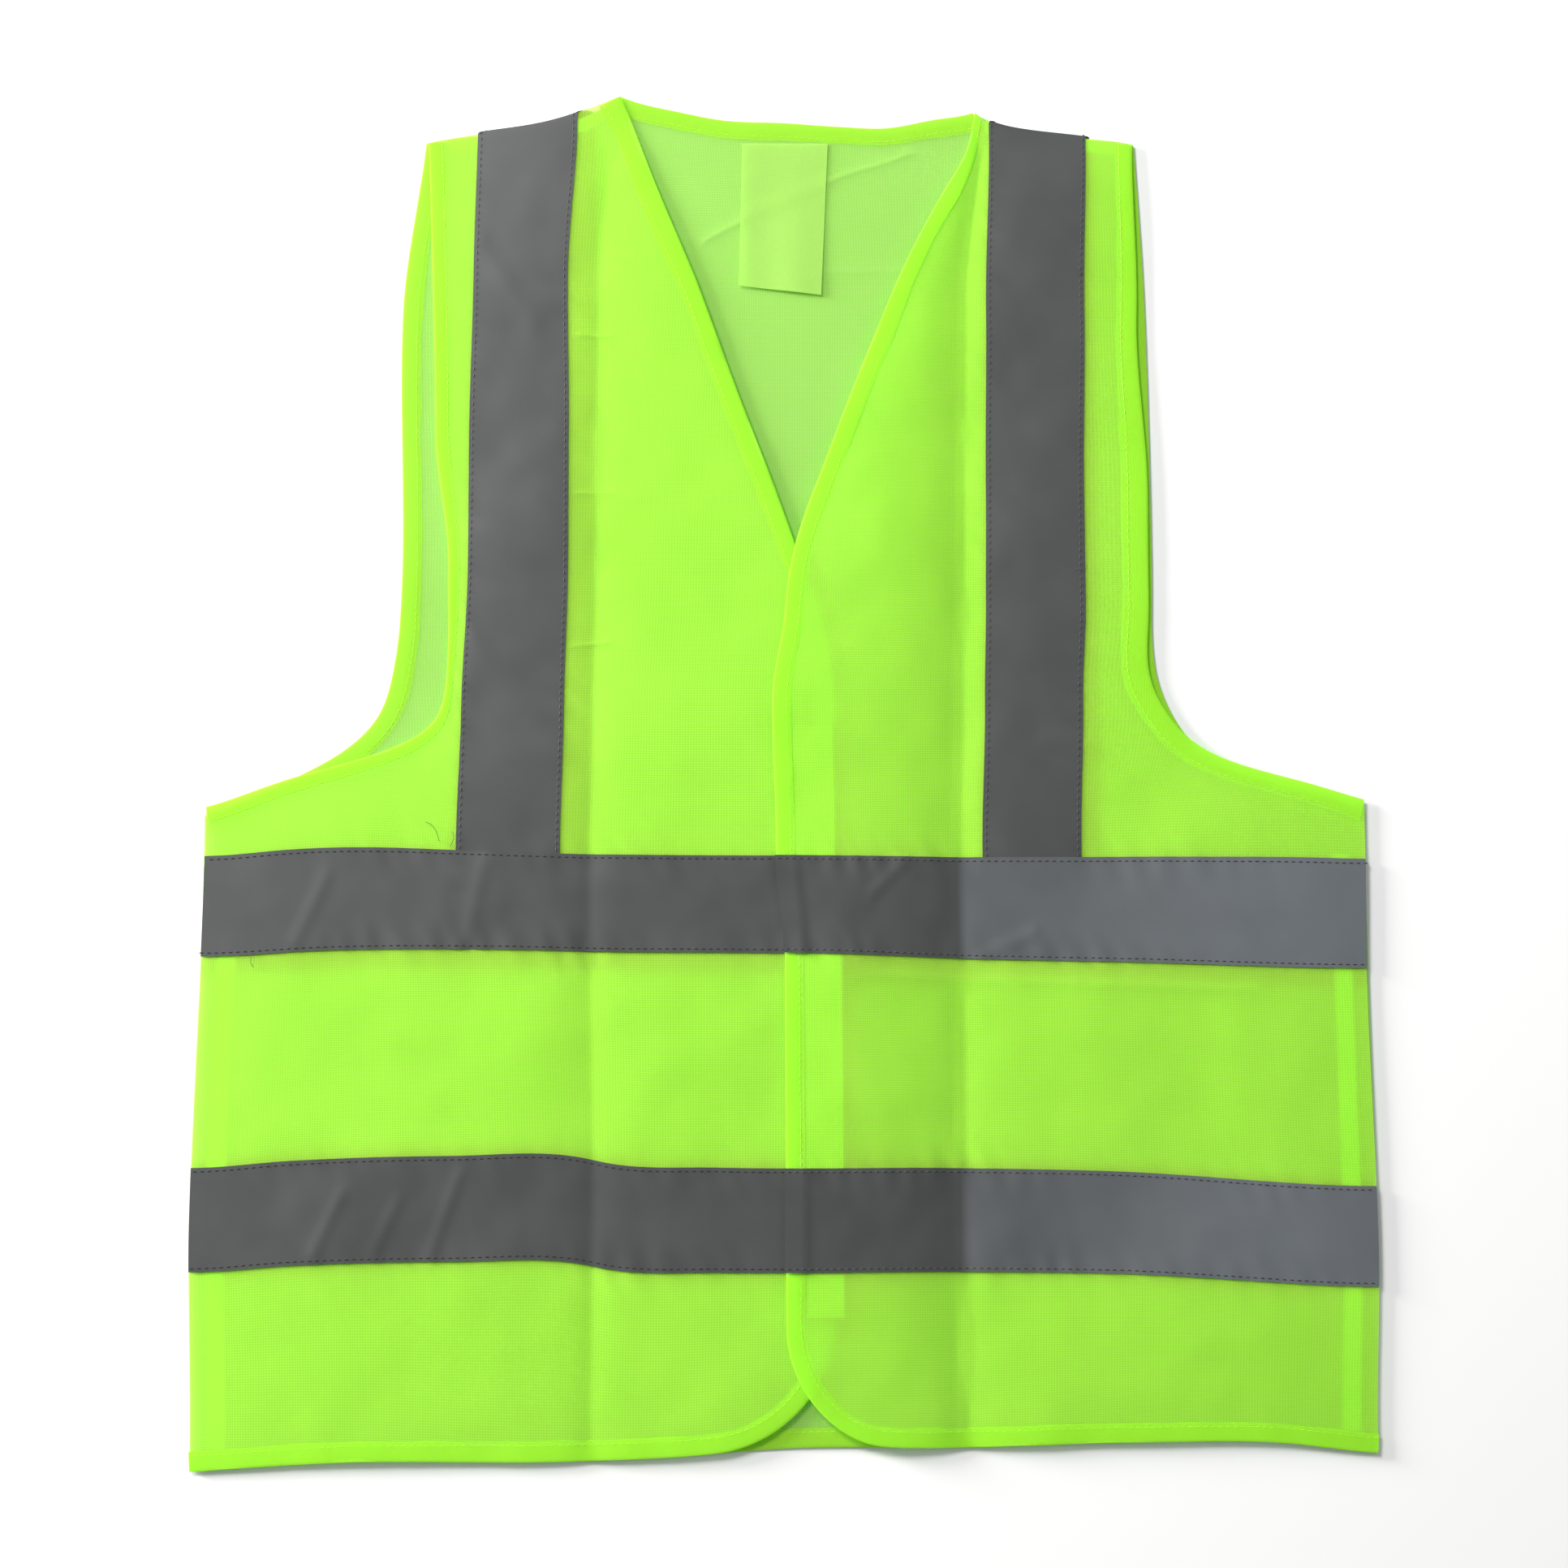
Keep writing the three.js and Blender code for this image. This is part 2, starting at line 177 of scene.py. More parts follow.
def make_light():
    world = bpy.data.worlds.new("studio")
    world.use_nodes = True
    world.node_tree.nodes["Background"].inputs["Color"].default_value = (1, 1, 1, 1)
    world.node_tree.nodes["Background"].inputs["Strength"].default_value = SKY_STRENGTH
    scene = bpy.context.scene
    scene.world = world
    scene.view_settings.view_transform = "Standard"
    scene.cycles.use_denoising = True
    for lamp in LAMPS:
        soft_light(*lamp)


# ------------ how the vest lies

# How far each layer lies off its pattern. A row holds, at one height, pairs of x and offset.
LAY_UP = (
    (-345, ((-289, -1), (-220, -1), (-100, -5), (-55, -4), (0, 0), (90, 1.5), (180, 7), (240, 10),
            (289, 8))),
    (-229, ((-289, 3), (-240, 6.5), (-160, 9), (-98, 8.5), (-82, 5), (-30, 3), (90, 3), (165, 1.5),
            (289, -6))),
    (-73, ((-289, 0), (-220, 3), (-160, 3.5), (-95, 2.5), (13, 1.5), (90, -1), (182, -3), (289, -5.5))),
    (-18, ((-289, 0.5), (-245, 5), (-195, 5.5), (-150, 2), (150, 2), (205, 4), (260, 5.5), (289, 4.5))),
    (60, ((-289, 1), (289, 1))),
    (250, ((-289, 0), (289, 0))),
    (335, ((-183, 0), (-158, -2), (-107, -3.5), (-88, 1.5), (-60, 4.5), (-30, 3.2), (0, 3.2), (28, 0),
           (50, -3.5), (72, -4), (90, -7.5), (105, -8.8), (154, -5), (183, -1))),
)
LAY_ACROSS = {
    "back": (
        (-345, ((-289, 2), (289, -3))),
        (-229, ((-289, -1.5), (289, 0))),
        (-73, ((-289, 0.5), (-105, 7), (155, 1), (289, -1))),
        (10, ((-289, 0), (-235, -6), (-105, 8.5), (155, 2), (235, -6), (289, 0))),
        (48, ((-205, -6.5), (-105, 8.8), (155, 2), (205, -6))),
        (100, ((-188, -4.5), (-105, 9), (0, 4), (155, 2), (188, -3.5))),
        (230, ((-188, -8.5), (-105, 9), (0, 4), (155, 2), (188, -3))),
        (335, ((-183, -1), (-105, 7), (-88, 3), (0, 0), (70, 5), (88, 9), (105, 3), (155, 2), (183, -4))),
    ),
    "right": (
        (-345, ((-289, 2), (-96, -3), (24, -1))),
        (-229, ((-289, -1.5), (-96, -3), (24, 0))),
        (-44, ((-289, 1), (-155, -8.3), (-105, -6.8), (24, 1))),
        (24, ((-289, 0), (-178, 9), (-155, -6.8), (-105, -5.6), (24, 0.5))),
        (97, ((-175, 6), (-155, -4.5), (-105, -4.3), (0, 1), (24, -1))),
        (170, ((-176, -1), (-155, -5), (-105, -4.7), (-25, 2.5))),
        (250, ((-178, -1), (-155, -4), (-105, -6), (-50, 4.5))),
        (335, ((-183, 0), (-155, -3), (-105, -2), (-84, 3))),
    ),
    "left": (
        (-345, ((-6, 7), (96, -6), (289, -3))),
        (-229, ((-6, 7), (96, -6), (155, -6), (289, 0))),
        (-99, ((-6, 6.3), (96, -6), (155, -6), (289, -2))),
        (-45, ((-6, 2), (105, -7), (155, -8), (289, -1))),
        (30, ((-6, 0), (105, -5), (155, -6), (180, 5), (289, 0))),
        (80, ((-6, 6.5), (105, -4), (155, -4), (175, 7.5))),
        (135, ((5, 8), (105, -3.5), (155, -4), (176, 7.5))),
        (230, ((43, 7.5), (105, -2.5), (155, -2.5), (178, 1))),
        (335, ((75, 16), (88, 10), (105, 0), (155, -0.5), (183, -5))),
    ),
}


def smooth(knots, at):
    """A smooth curve through the knots, level beyond the first and the last."""
    xs, ys = np.array(knots, float).T
    slopes = np.gradient(ys, xs)
    slopes[0] = slopes[-1] = 0.0
    at = np.clip(np.asarray(at, float), xs[0], xs[-1])
    i = np.clip(np.searchsorted(xs, at, side="right") - 1, 0, len(xs) - 2)
    span = xs[i + 1] - xs[i]
    t = (at - xs[i]) / span
    rise = (1 + 2 * t) * (1 - t) ** 2 * ys[i] + t * t * (3 - 2 * t) * ys[i + 1]
    return rise + span * t * (1 - t) * ((1 - t) * slopes[i] - t * slopes[i + 1])


def between_levels(levels, x, y):
    heights = np.array([level for level, _ in levels], float)
    rows = np.array([smooth(knots, x) for _, knots in levels])
    y = np.clip(y, heights[0], heights[-1])
    i = np.clip(np.searchsorted(heights, y, side="right") - 1, 0, len(heights) - 2)
    t = (y - heights[i]) / (heights[i + 1] - heights[i])
    t = t * t * (3 - 2 * t)
    column = np.arange(len(x))
    return rows[i, column] * (1 - t) + rows[i + 1, column] * t


def laid(layer, flat):
    """Pattern points, as rows of x and y, moved to where they lie in that layer."""
    x, y = flat[:, 0], flat[:, 1]
    up = between_levels(LAY_UP, x, y)
    if layer == "back":
        up += smooth(BACK_UP, y)
    return np.stack([x + between_levels(LAY_ACROSS[layer], x, y), y + up], 1)


# ------------ the pattern's edges

def bezier(points):
    t = np.linspace(0, 1, CURVE_STEPS + 1)[:, None]
    a, b, c, d = (np.array(p, float) for p in points)
    return (1 - t) ** 3 * a + 3 * (1 - t) ** 2 * t * b + 3 * (1 - t) * t * t * c + t ** 3 * d


def run_along(points):
    """How far along the line each of its points is."""
    return np.concatenate([[0], np.cumsum(np.linalg.norm(np.diff(points, axis=0), axis=1))])


def even(points, step):
    """The same line, with its points a step apart."""
    points = np.asarray(points, float)
    run = run_along(points)
    at = np.linspace(0, run[-1], max(2, round(run[-1] / step) + 1))
    return np.stack([np.interp(at, run, points[:, i]) for i in range(points.shape[1])], 1)


def mirrored(points, side):
    return np.asarray(points) * np.array([side, 1.0])


def hem_y(x):
    return HEM_CORNER_Y + HEM_RISE * (1 - (x / HALF_WIDTH) ** 2)


def shoulder_y(x):
    return TOP_Y - (TOP_Y - SHOULDER_Y) * (np.abs(x) - NECK_X) / (SHOULDER_X - NECK_X)


def armhole(kind):
    """From the left shoulder's end down to the underarm, of the back or the front."""
    chest_x, low = CHEST_X[kind], ARMHOLE_LOW[kind]
    drop = SHOULDER_Y - CHEST_Y
    lean_x = SHOULDER_X + ARMHOLE_LEAN * (chest_x - SHOULDER_X)
    upper = bezier([
        (SHOULDER_X, SHOULDER_Y),
        (lean_x, SHOULDER_Y - SHOULDER_PULL * drop),
        (chest_x, CHEST_Y + CHEST_PULL * drop),
        (chest_x, CHEST_Y),
    ])
    lower = bezier([
        (chest_x, CHEST_Y),
        (chest_x, low),
        (chest_x + UNDERARM_RUN, UNDERARM_Y + UNDERARM_RISE - low),
        (HALF_WIDTH, UNDERARM_Y),
    ])
    return np.concatenate([upper, lower[1:]])


def back_neck():
    # The curve comes down three quarters as far as its two inner points.
    pull_x, pull_y = NECK_PULL_X * NECK_X, TOP_Y - NECK_DROP * 4 / 3
    return bezier([(-NECK_X, TOP_Y), (-pull_x, pull_y), (pull_x, pull_y), (NECK_X, TOP_Y)])


def hem(from_x, to_x):
    x = np.linspace(from_x, to_x, HEM_STEPS)
    return np.stack([x, hem_y(x)], 1)


def front_edge(side):
    """From the neck point down the V, the middle edge and the corner, and along the hem to the side."""
    edge_x = OVER_EDGE_X if side > 0 else -UNDER_EDGE_X
    bend = np.array([edge_x, TOP_Y - (NECK_X - edge_x) / V_RUN])
    slant = np.array([V_RUN, 1.0]) * V_ROUNDING / math.hypot(V_RUN, 1)
    down = np.array([0, -V_ROUNDING])
    rounding = bezier([bend + slant, bend + slant / 3, bend + down / 3, bend + down])
    turn = np.linspace(math.pi, 1.5 * math.pi, CORNER_STEPS)
    centre = np.array([edge_x + CORNER_RADIUS, hem_y(0) + CORNER_RADIUS])
    corner = centre + CORNER_RADIUS * np.stack([np.cos(turn), np.sin(turn)], 1)
    along = hem(centre[0], HALF_WIDTH)[1:]
    return mirrored(np.concatenate([[(NECK_X, TOP_Y)], rounding, corner, along]), side)


def front_outline(side):
    return np.concatenate([front_edge(side), mirrored(armhole("front"), side)[::-1]])


def back_outline():
    left = np.concatenate([armhole("back"), hem(HALF_WIDTH, 0)])
    right = mirrored(left, -1)[::-1][1:]
    return np.concatenate([left, right, back_neck()])


# ------------ heights

BACK_Z = 1.15
SIDE_Z = 2.4
FRONT_Z = 3.7
OVERLAP_RISE = 2.7  # how far the left front climbs to lie on the right one
OVERLAP_REACH = 70.0
LOWEST_FRONT_Z = 2.1
ARMHOLE_LINE = armhole("front")
# Smooth unevenness of the fronts: height, size across and seed of each layer of noise.
BILLOWS = ((0.9, 110, 3.0), (0.6, 46, 7.0), (0.25, 18, 2.0))
# How far in from each edge the fronts reach their full height.
SIDE_REACH = 70.0
SHOULDER_REACH = 60.0
ARMHOLE_REACH = 60.0
ARMHOLE_LOFT = 0.35  # share of the full height right at the armhole
BACK_WAVE, BACK_WAVE_SIZE = 0.2, 60
# The back's creases show between the fronts, and fade out to nothing at this x.
BACK_CREASE_X, BACK_CREASE_REACH = 110.0, 60.0

# Pressed lines that still show: layer, the two ends, height, half width.
CREASES = (
    ("back", (-46, 269), (60, 319), 0.3, 1.6),
    ("back", (18, 253), (62, 253), 0.15, 2.0),
    ("right", (-101, 219), (-86, 218), 0.3, 1.2),
    ("right", (-101, 136), (-84, 136), 0.25, 1.2),
    ("right", (-101, 57), (-84, 59), 0.25, 1.2),
    ("right", (-240, -93), (-224, -62), 0.3, 4.0),
    ("right", (-150, -94), (-141, -54), 0.3, 4.0),
    ("right", (-228, -250), (-214, -222), 0.35, 3.0),
    ("right", (-197, -248), (-186, -226), 0.3, 3.0),
    ("right", (-170, -252), (-156, -214), 0.35, 3.0),
    ("right", (-152, 268), (-122, 226), 0.35, 5.0),
    ("right", (-150, 60), (-118, 20), 0.3, 5.0),
    ("left", (34, -108), (235, -110), 0.3, 3.0),
    ("left", (43, -68), (62, -51), 0.4, 2.5),
    ("left", (103, -97), (130, -84), 0.4, 2.5),
    ("left", (136, 9), (156, 7), 0.3, 2.0),
    ("left", (110, 190), (150, 160), 0.3, 5.0),
)
CREASE_SIDE_REACH = 20.0

# Where each front was folded while it was packed, and how deep and wide the valley still is.
FOLDS = {"right": ((-91, -345), (-91, 330)), "left": ((95, -345), (93, 330))}
FOLD_DEPTH = 1.4
FOLD_WIDTH = 13.0

# The gathers beside a tape's stitches: height, reach, and how they vary along and across.
PUCKER = 0.32
PUCKER_REACH = 9.0
PUCKER_BEND, PUCKER_BEND_SIZE = 2.5, 30
# How common they are, size and seed of their patches, pitch along and across the edge, and seed of bends.
LEVEL_GATHERS = (0.45, 70, 5.0, 2.3, 5.0, 9.0)
BRACE_GATHERS = (0.3, 60, 6.0, 2.6, 4.0, 8.0)

# How far the back lies off its pattern, by height, so that its tapes show beside the fronts' tapes.
BACK_UP = ((-345, 0), (-255, 0), (-204, 3), (-98, -9), (-48, -6), (60, 0))


def rough(x, y, scale, seed):
    """Smooth noise from about -1 to 1 at each point."""
    return np.array([noise.noise(Vector((a / scale, b / scale, seed))) for a, b in zip(x, y)])


def eased(distance, reach):
    """From 0 at no distance up to 1 at reach."""
    t = np.clip(distance / reach, 0, 1)
    return t * (2 - t)


def distance_to(line, points):
    return np.min(np.linalg.norm(points[:, None] - line[None], axis=2), axis=1)


def distance_to_segment(points, start, end):
    start, end = np.array(start, float), np.array(end, float)
    along = end - start
    t = np.clip((points - start) @ along / (along @ along), 0, 1)
    return np.linalg.norm(points - (start + t[:, None] * along), axis=1)


def creases(layer, flat):
    total = np.zeros(len(flat))
    for on, start, end, rise, half in CREASES:
        if on == layer:
            total += rise * np.exp(-(distance_to_segment(flat, start, end) / half) ** 2)
    if layer in FOLDS:
        total -= FOLD_DEPTH * np.exp(-distance_to_segment(flat, *FOLDS[layer]) / FOLD_WIDTH)
    return total


def tape_edges(middle):
    return middle - TAPE_WIDTH / 2, middle + TAPE_WIDTH / 2


def gathers(flat, run, edge, common, patch, patch_seed, pitch, slant, bend_seed):
    """Gathers beside one stitched edge, which runs along x where run is 0 and along y where it is 1."""
    along, past = flat[:, run], flat[:, 1 - run] - edge
    on_edge = flat.copy()
    on_edge[:, 1 - run] = edge
    strong = np.clip(common + rough(*on_edge.T, patch, patch_seed), 0, 1)
    bend = PUCKER_BEND * rough(*flat.T, PUCKER_BEND_SIZE, bend_seed)
    return np.exp(-(past / PUCKER_REACH) ** 2) * strong * np.sin(along / pitch + past / slant + bend)


def puckers(flat):
    """Short gathers beside the stitched edges of the tapes."""
    total = np.zeros(len(flat))
    for level in TAPE_LEVELS.values():
        for edge in tape_edges(level):
            total += gathers(flat, 0, edge, *LEVEL_GATHERS)
    above = flat[:, 1] > TAPE_LEVELS["upper"]
    for side in SIDES:
        for edge in tape_edges(side * BRACE_X):
            total += gathers(flat, 1, edge, *BRACE_GATHERS) * above
    return PUCKER * total


def front_z(layer, flat):
    """How high a front's cloth lies, at pattern points."""
    x, y = flat[:, 0], flat[:, 1]
    side = -1 if layer == "right" else 1
    from_side = HALF_WIDTH - np.abs(x)
    from_shoulder = np.maximum(shoulder_y(x) - y, 0)
    from_hole = distance_to(ARMHOLE_LINE, np.stack([np.abs(x), y], 1))
    billow = sum(high * rough(x, y, size, seed) for high, size, seed in BILLOWS)
    by_hole = ARMHOLE_LOFT + (1 - ARMHOLE_LOFT) * eased(from_hole, ARMHOLE_REACH)
    loft = eased(from_side, SIDE_REACH) * eased(from_shoulder, SHOULDER_REACH) * by_hole
    rise = OVERLAP_RISE * eased(NECK_X - side * x, OVERLAP_REACH) if side > 0 else 0.0
    shape = (FRONT_Z - SIDE_Z + billow) * loft
    detail = creases(layer, flat) * eased(from_side, CREASE_SIDE_REACH) + puckers(flat) * loft
    return np.maximum(SIDE_Z + shape + rise + detail, LOWEST_FRONT_Z)


def back_z(flat):
    x, y = flat[:, 0], flat[:, 1]
    wave = BACK_WAVE * (1 + rough(x, y, BACK_WAVE_SIZE, 11.0))
    inside_neck = eased(np.maximum(BACK_CREASE_X - np.abs(x), 0), BACK_CREASE_REACH)
    return BACK_Z + wave + creases("back", flat) * inside_neck


def height(layer, flat):
    return back_z(flat) if layer == "back" else front_z(layer, flat)


# ------------ meshes

SHARP = math.radians(50)


def new_piece(name, points, faces, pattern, material):
    """A mesh object from points in millimetres. pattern is where each point lies on the flat cloth."""
    mesh = bpy.data.meshes.new(name)
    mesh.from_pydata((np.asarray(points) * MM).tolist(), [], [[int(i) for i in f] for f in faces])
    mesh.polygons.foreach_set("use_smooth", [True] * len(mesh.polygons))
    mesh.set_sharp_from_angle(angle=SHARP)
    cloth = mesh.attributes.new("cloth", "FLOAT_VECTOR", "POINT")
    flat = np.zeros((len(points), 3), np.float32)
    flat[:, :2] = np.asarray(pattern)[:, :2] * MM
    cloth.data.foreach_set("vector", flat.ravel())
    mesh.materials.append(material)
    return placed(name, mesh)


def rim_of(faces):
    """The directed edges that only one face has."""
    directed = [(f[i], f[(i + 1) % len(f)]) for f in faces for i in range(len(f))]
    have = set(directed)
    return [(a, b) for a, b in directed if (b, a) not in have]


def slab(name, points, faces, flat, thickness, material, ups=(0, 0, 1)):
    """Closed cloth of a thickness, under the points. ups is the way up, for all of them or for each."""
    count = len(points)
    under = points - thickness * np.asarray(ups)
    back = [tuple(i + count for i in reversed(f)) for f in faces]
    rim = [(b, a, a + count, b + count) for a, b in rim_of(faces)]
    both = np.concatenate([points, under])
    return new_piece(name, both, list(faces) + back + rim, np.concatenate([flat, flat]), material)


def inside(outline, points):
    """Which points are inside a closed outline."""
    x, y = points[:, 0][:, None], points[:, 1][:, None]
    ax, ay = outline[:, 0], outline[:, 1]
    bx, by = np.roll(ax, -1), np.roll(ay, -1)
    crosses = (ay > y) != (by > y)
    at = ax + (y - ay) * (bx - ax) / np.where(by == ay, TINY, by - ay)
    return (crosses & (x < at)).sum(1) % 2 == 1


def columns():
    """x of the grid's columns, closer together where the fronts fold."""
    coarse = np.arange(-HALF_WIDTH, HALF_WIDTH + 1, GRID)
    fine = np.arange(FOLD_X - 2 * FOLD_REACH, FOLD_X + 2 * FOLD_REACH, FOLD_STEP)
    away = coarse[np.min(np.abs(np.abs(coarse)[:, None] - fine), axis=1) > FOLD_STEP]
    return np.sort(np.concatenate([away, fine, -fine]))


CREASE_ROWS = range(-3, 4)  # half of the crease's half width apart
CREASE_CLEARANCE = 0.5


def with_crease_points(layer, edge, grid):
    """The grid with finer rows of points along each of the layer's creases."""
    for on, start, end, _, half in CREASES:
        if on != layer:
            continue
        line = even([start, end], 2 * half)
        fine = np.concatenate([line + left_of(line) * half * row / 2 for row in CREASE_ROWS])
        fine = fine[inside(edge, fine)]
        fine = fine[distance_to(edge, fine) > EDGE_STEP / 2]
        grid = grid[distance_to_segment(grid, start, end) > 2 * half + CREASE_CLEARANCE]
        grid = np.concatenate([grid, fine])
    return grid


WHOLE_HULL = 0  # delaunay_2d_cdt then gives every triangle, in the outline or not
MERGE_WITHIN = 1e-4


def filled(layer, outline):
    """Points and triangles that fill a closed outline, on a grid."""
    edge = even(np.concatenate([outline, outline[:1]]), EDGE_STEP)[:-1]
    x, y = edge.T
    if np.dot(x, np.roll(y, -1)) < np.dot(y, np.roll(x, -1)):
        edge = edge[::-1]
    xs, ys = np.meshgrid(columns(), np.arange(HEM_CORNER_Y, TOP_Y, GRID))
    grid = np.stack([xs.ravel(), ys.ravel()], 1)
    grid = grid[inside(edge, grid)]
    grid = grid[distance_to(edge, grid) > EDGE_STEP / 2]
    grid = with_crease_points(layer, edge, grid)
    points = np.concatenate([edge, grid])
    corners = [Vector(p) for p in points]
    loop = list(range(len(edge)))
    made = delaunay_2d_cdt(corners, [], [loop], WHOLE_HULL, MERGE_WITHIN, False)
    flat = np.array([tuple(v) for v in made[0]])
    triangles = np.array([f for f in made[2] if len(f) == 3])
    middles = flat[triangles].mean(axis=1)
    keep = triangles[inside(edge, middles)]
    used, renumbered = np.unique(keep, return_inverse=True)
    return flat[used], [tuple(f) for f in renumbered.reshape(-1, 3)]


def panel(name, layer, outline, material):
    flat, triangles = filled(layer, outline)
    points = np.column_stack([laid(layer, flat), height(layer, flat)])
    return slab(name, points, triangles, flat, CLOTH, material)


def turned_over(faces):
    return [tuple(reversed(f)) for f in faces]


def grid_faces(rows, across, wrap=False):
    faces = []
    for i in range(rows - 1):
        for j in range(across if wrap else across - 1):
            k = (j + 1) % across
            faces.append((i * across + j, (i + 1) * across + j, (i + 1) * across + k, i * across + k))
    return faces


def left_of(line):
    """Unit vectors to the left of the way a flat line runs."""
    along = np.gradient(line, axis=0)
    along /= np.maximum(np.linalg.norm(along, axis=1), TINY)[:, None]
    return np.stack([-along[:, 1], along[:, 0]], 1)


# The upper half of a folded binding's section: shares of its width in from the edge, and of its height.
BINDING_SECTION = (
    (-0.04, 0.0), (0.0, 0.6), (0.1, 0.85), (0.35, 1.0), (0.65, 0.95), (0.9, 0.75), (1.0, 0.5), (1.0, 0.0),
)
BINDING_HALF = 0.28  # half its thickness
BINDING_WAVE_SIZE = 16
UNEVEN_WIDTH, UNEVEN_HEIGHT = 0.06, 0.15


def binding(name, layer, edge, inward, material):
    """A strip folded over an edge of the cloth, as one closed tube of flat section."""
    line = even(edge, EDGE_STEP)
    side = left_of(line) * inward
    section = list(BINDING_SECTION) + [(d, -z) for d, z in BINDING_SECTION[-2:0:-1]]
    wave = rough(line[:, 0], line[:, 1], BINDING_WAVE_SIZE, 21.0)
    base = height(layer, line + side * BINDING_WIDTH / 2) - CLOTH / 2
    rings, flats = [], []
    for d, z in section:
        flat = line + side * (d * BINDING_WIDTH * (1 + UNEVEN_WIDTH * wave))[:, None]
        up = base + z * BINDING_HALF * (1 + UNEVEN_HEIGHT * wave)
        rings.append(np.column_stack([laid(layer, flat), up]))
        flats.append(flat)
    count = len(section)
    points = np.stack(rings, 1).reshape(-1, 3)
    flat = np.stack(flats, 1).reshape(-1, 2)
    faces = grid_faces(len(line), count, wrap=True)
    faces += [list(range(count))[::-1], [(len(line) - 1) * count + j for j in range(count)]]
    if inward < 0:
        faces = turned_over(faces)
    return new_piece(name, points, faces, flat, material)


# ------------ stitches

STITCH_PITCH = 3.6
STITCH_LENGTH = 2.5
STITCH_RADIUS = 0.32
FINE_STITCH_RADIUS = 0.13
STITCH_INSET = 1.8  # from a tape's edge
BINDING_STITCH_INSET = 2.0  # from a binding's inner edge
SEWN_LINES = (TAPE_WIDTH / 2 - STITCH_INSET, STITCH_INSET - TAPE_WIDTH / 2)  # from a tape's middle
# Shares of the length and the radius at each ring of a stitch.
STITCH_RINGS = ((-0.5, 0.45), (-0.22, 1.0), (0.22, 1.0), (0.5, 0.45))
STITCH_SIDES = 5


def stitch_row(line, normals, radius):
    """Points and faces of a row of thread stitches along a line in space."""
    line = np.asarray(line, float)
    run = run_along(line)
    middles = np.arange(STITCH_PITCH / 2, run[-1], STITCH_PITCH)
    points, faces = [], []
    for at in middles:
        centre = np.array([np.interp(at, run, line[:, i]) for i in range(3)])
        ahead = np.array([np.interp(at + 1, run, line[:, i]) for i in range(3)])
        up = np.array([np.interp(at, run, normals[:, i]) for i in range(3)])
        along = ahead - centre
        along /= max(np.linalg.norm(along), TINY)
        out = np.cross(along, up)
        first = len(points)
        for place, share in STITCH_RINGS:
            for step in range(STITCH_SIDES):
                turn = 2 * math.pi * step / STITCH_SIDES
                spoke = math.cos(turn) * out + math.sin(turn) * up
                sink = radius * (share - 1) * up
                points.append(centre + along * place * STITCH_LENGTH + spoke * radius * share + sink)
        rows = len(STITCH_RINGS)
        faces += [tuple(first + i for i in f) for f in grid_faces(rows, STITCH_SIDES, wrap=True)]
        faces.append(tuple(first + i for i in range(STITCH_SIDES)))
        last = first + (rows - 1) * STITCH_SIDES
        faces.append(tuple(last + i for i in reversed(range(STITCH_SIDES))))
    return points, faces


def stitches(name, rows, material, radius=STITCH_RADIUS):
    """One piece from several rows, each a line in space and the way up along it."""
    points, faces = [], []
    for line, normals in rows:
        more, extra = stitch_row(line, normals, radius)
        faces += [tuple(len(points) + i for i in f) for f in extra]
        points += more
    points = np.array(points)
    return new_piece(name, points, faces, points[:, :2], material)


def sewn_line(layer, flat, lift):
    flat = even(flat, EDGE_STEP / 2)
    line = np.column_stack([laid(layer, flat), height(layer, flat) + lift])
    return line, np.tile([0, 0, math.copysign(1, lift)], (len(line), 1))


# Ends of thread left at the tapes' seams: layer, where on the pattern, which way in degrees, and length.
LOOSE_ENDS = (
    ("right", (-163, -45), 105, 14),
    ("right", (-158, -47), 60, 9),
    ("right", (-262, -97), 250, 8),
    ("left", (151, 96), 20, 6),
    ("left", (152, 250), 70, 5),
)
LOOSE_STEPS = 14
LOOSE_CURL = 70  # degrees that a loose end turns over its length
LOOSE_LIFT, LOOSE_ARCH = 0.75, 1.2


def loose_end(layer, place, degrees, length):
    """The middle line of a curled end of thread that lies on the cloth."""
    share = np.linspace(0, 1, LOOSE_STEPS)
    turn = np.radians(degrees + LOOSE_CURL * share * share)
    steps = np.stack([np.cos(turn), np.sin(turn)], 1) * length / LOOSE_STEPS
    flat = np.array(place, float) + np.cumsum(steps, axis=0)
    z = height(layer, flat) + LOOSE_LIFT + LOOSE_ARCH * np.sin(share * math.pi)
    return np.column_stack([laid(layer, flat), z])


def thread_tube(line, radius):
    """Points and faces of a round thread along a line in space."""
    along = np.gradient(line, axis=0)
    along /= np.linalg.norm(along, axis=1)[:, None]
    out = np.cross(along, [0, 0, 1.0])
    out /= np.maximum(np.linalg.norm(out, axis=1), TINY)[:, None]
    up = np.cross(out, along)
    turns = [2 * math.pi * step / STITCH_SIDES for step in range(STITCH_SIDES)]
    rings = [line + radius * (math.cos(a) * out + math.sin(a) * up) for a in turns]
    faces = grid_faces(len(line), STITCH_SIDES, wrap=True)
    last = (len(line) - 1) * STITCH_SIDES
    faces += [tuple(range(STITCH_SIDES)), tuple(last + i for i in reversed(range(STITCH_SIDES)))]
    return np.stack(rings, 1).reshape(-1, 3), faces


def make_loose_ends():
    for number, (layer, place, degrees, length) in enumerate(LOOSE_ENDS, 1):
        points, faces = thread_tube(loose_end(layer, place, degrees, length), FINE_STITCH_RADIUS)
        stays(new_piece(f"loose_end_{number}", points, faces, points[:, :2], DARK_THREAD))


# ------------ materials

def new_material(name):
    material = bpy.data.materials.new(name)
    material.use_nodes = True
    material.node_tree.nodes.clear()
    return material, material.node_tree


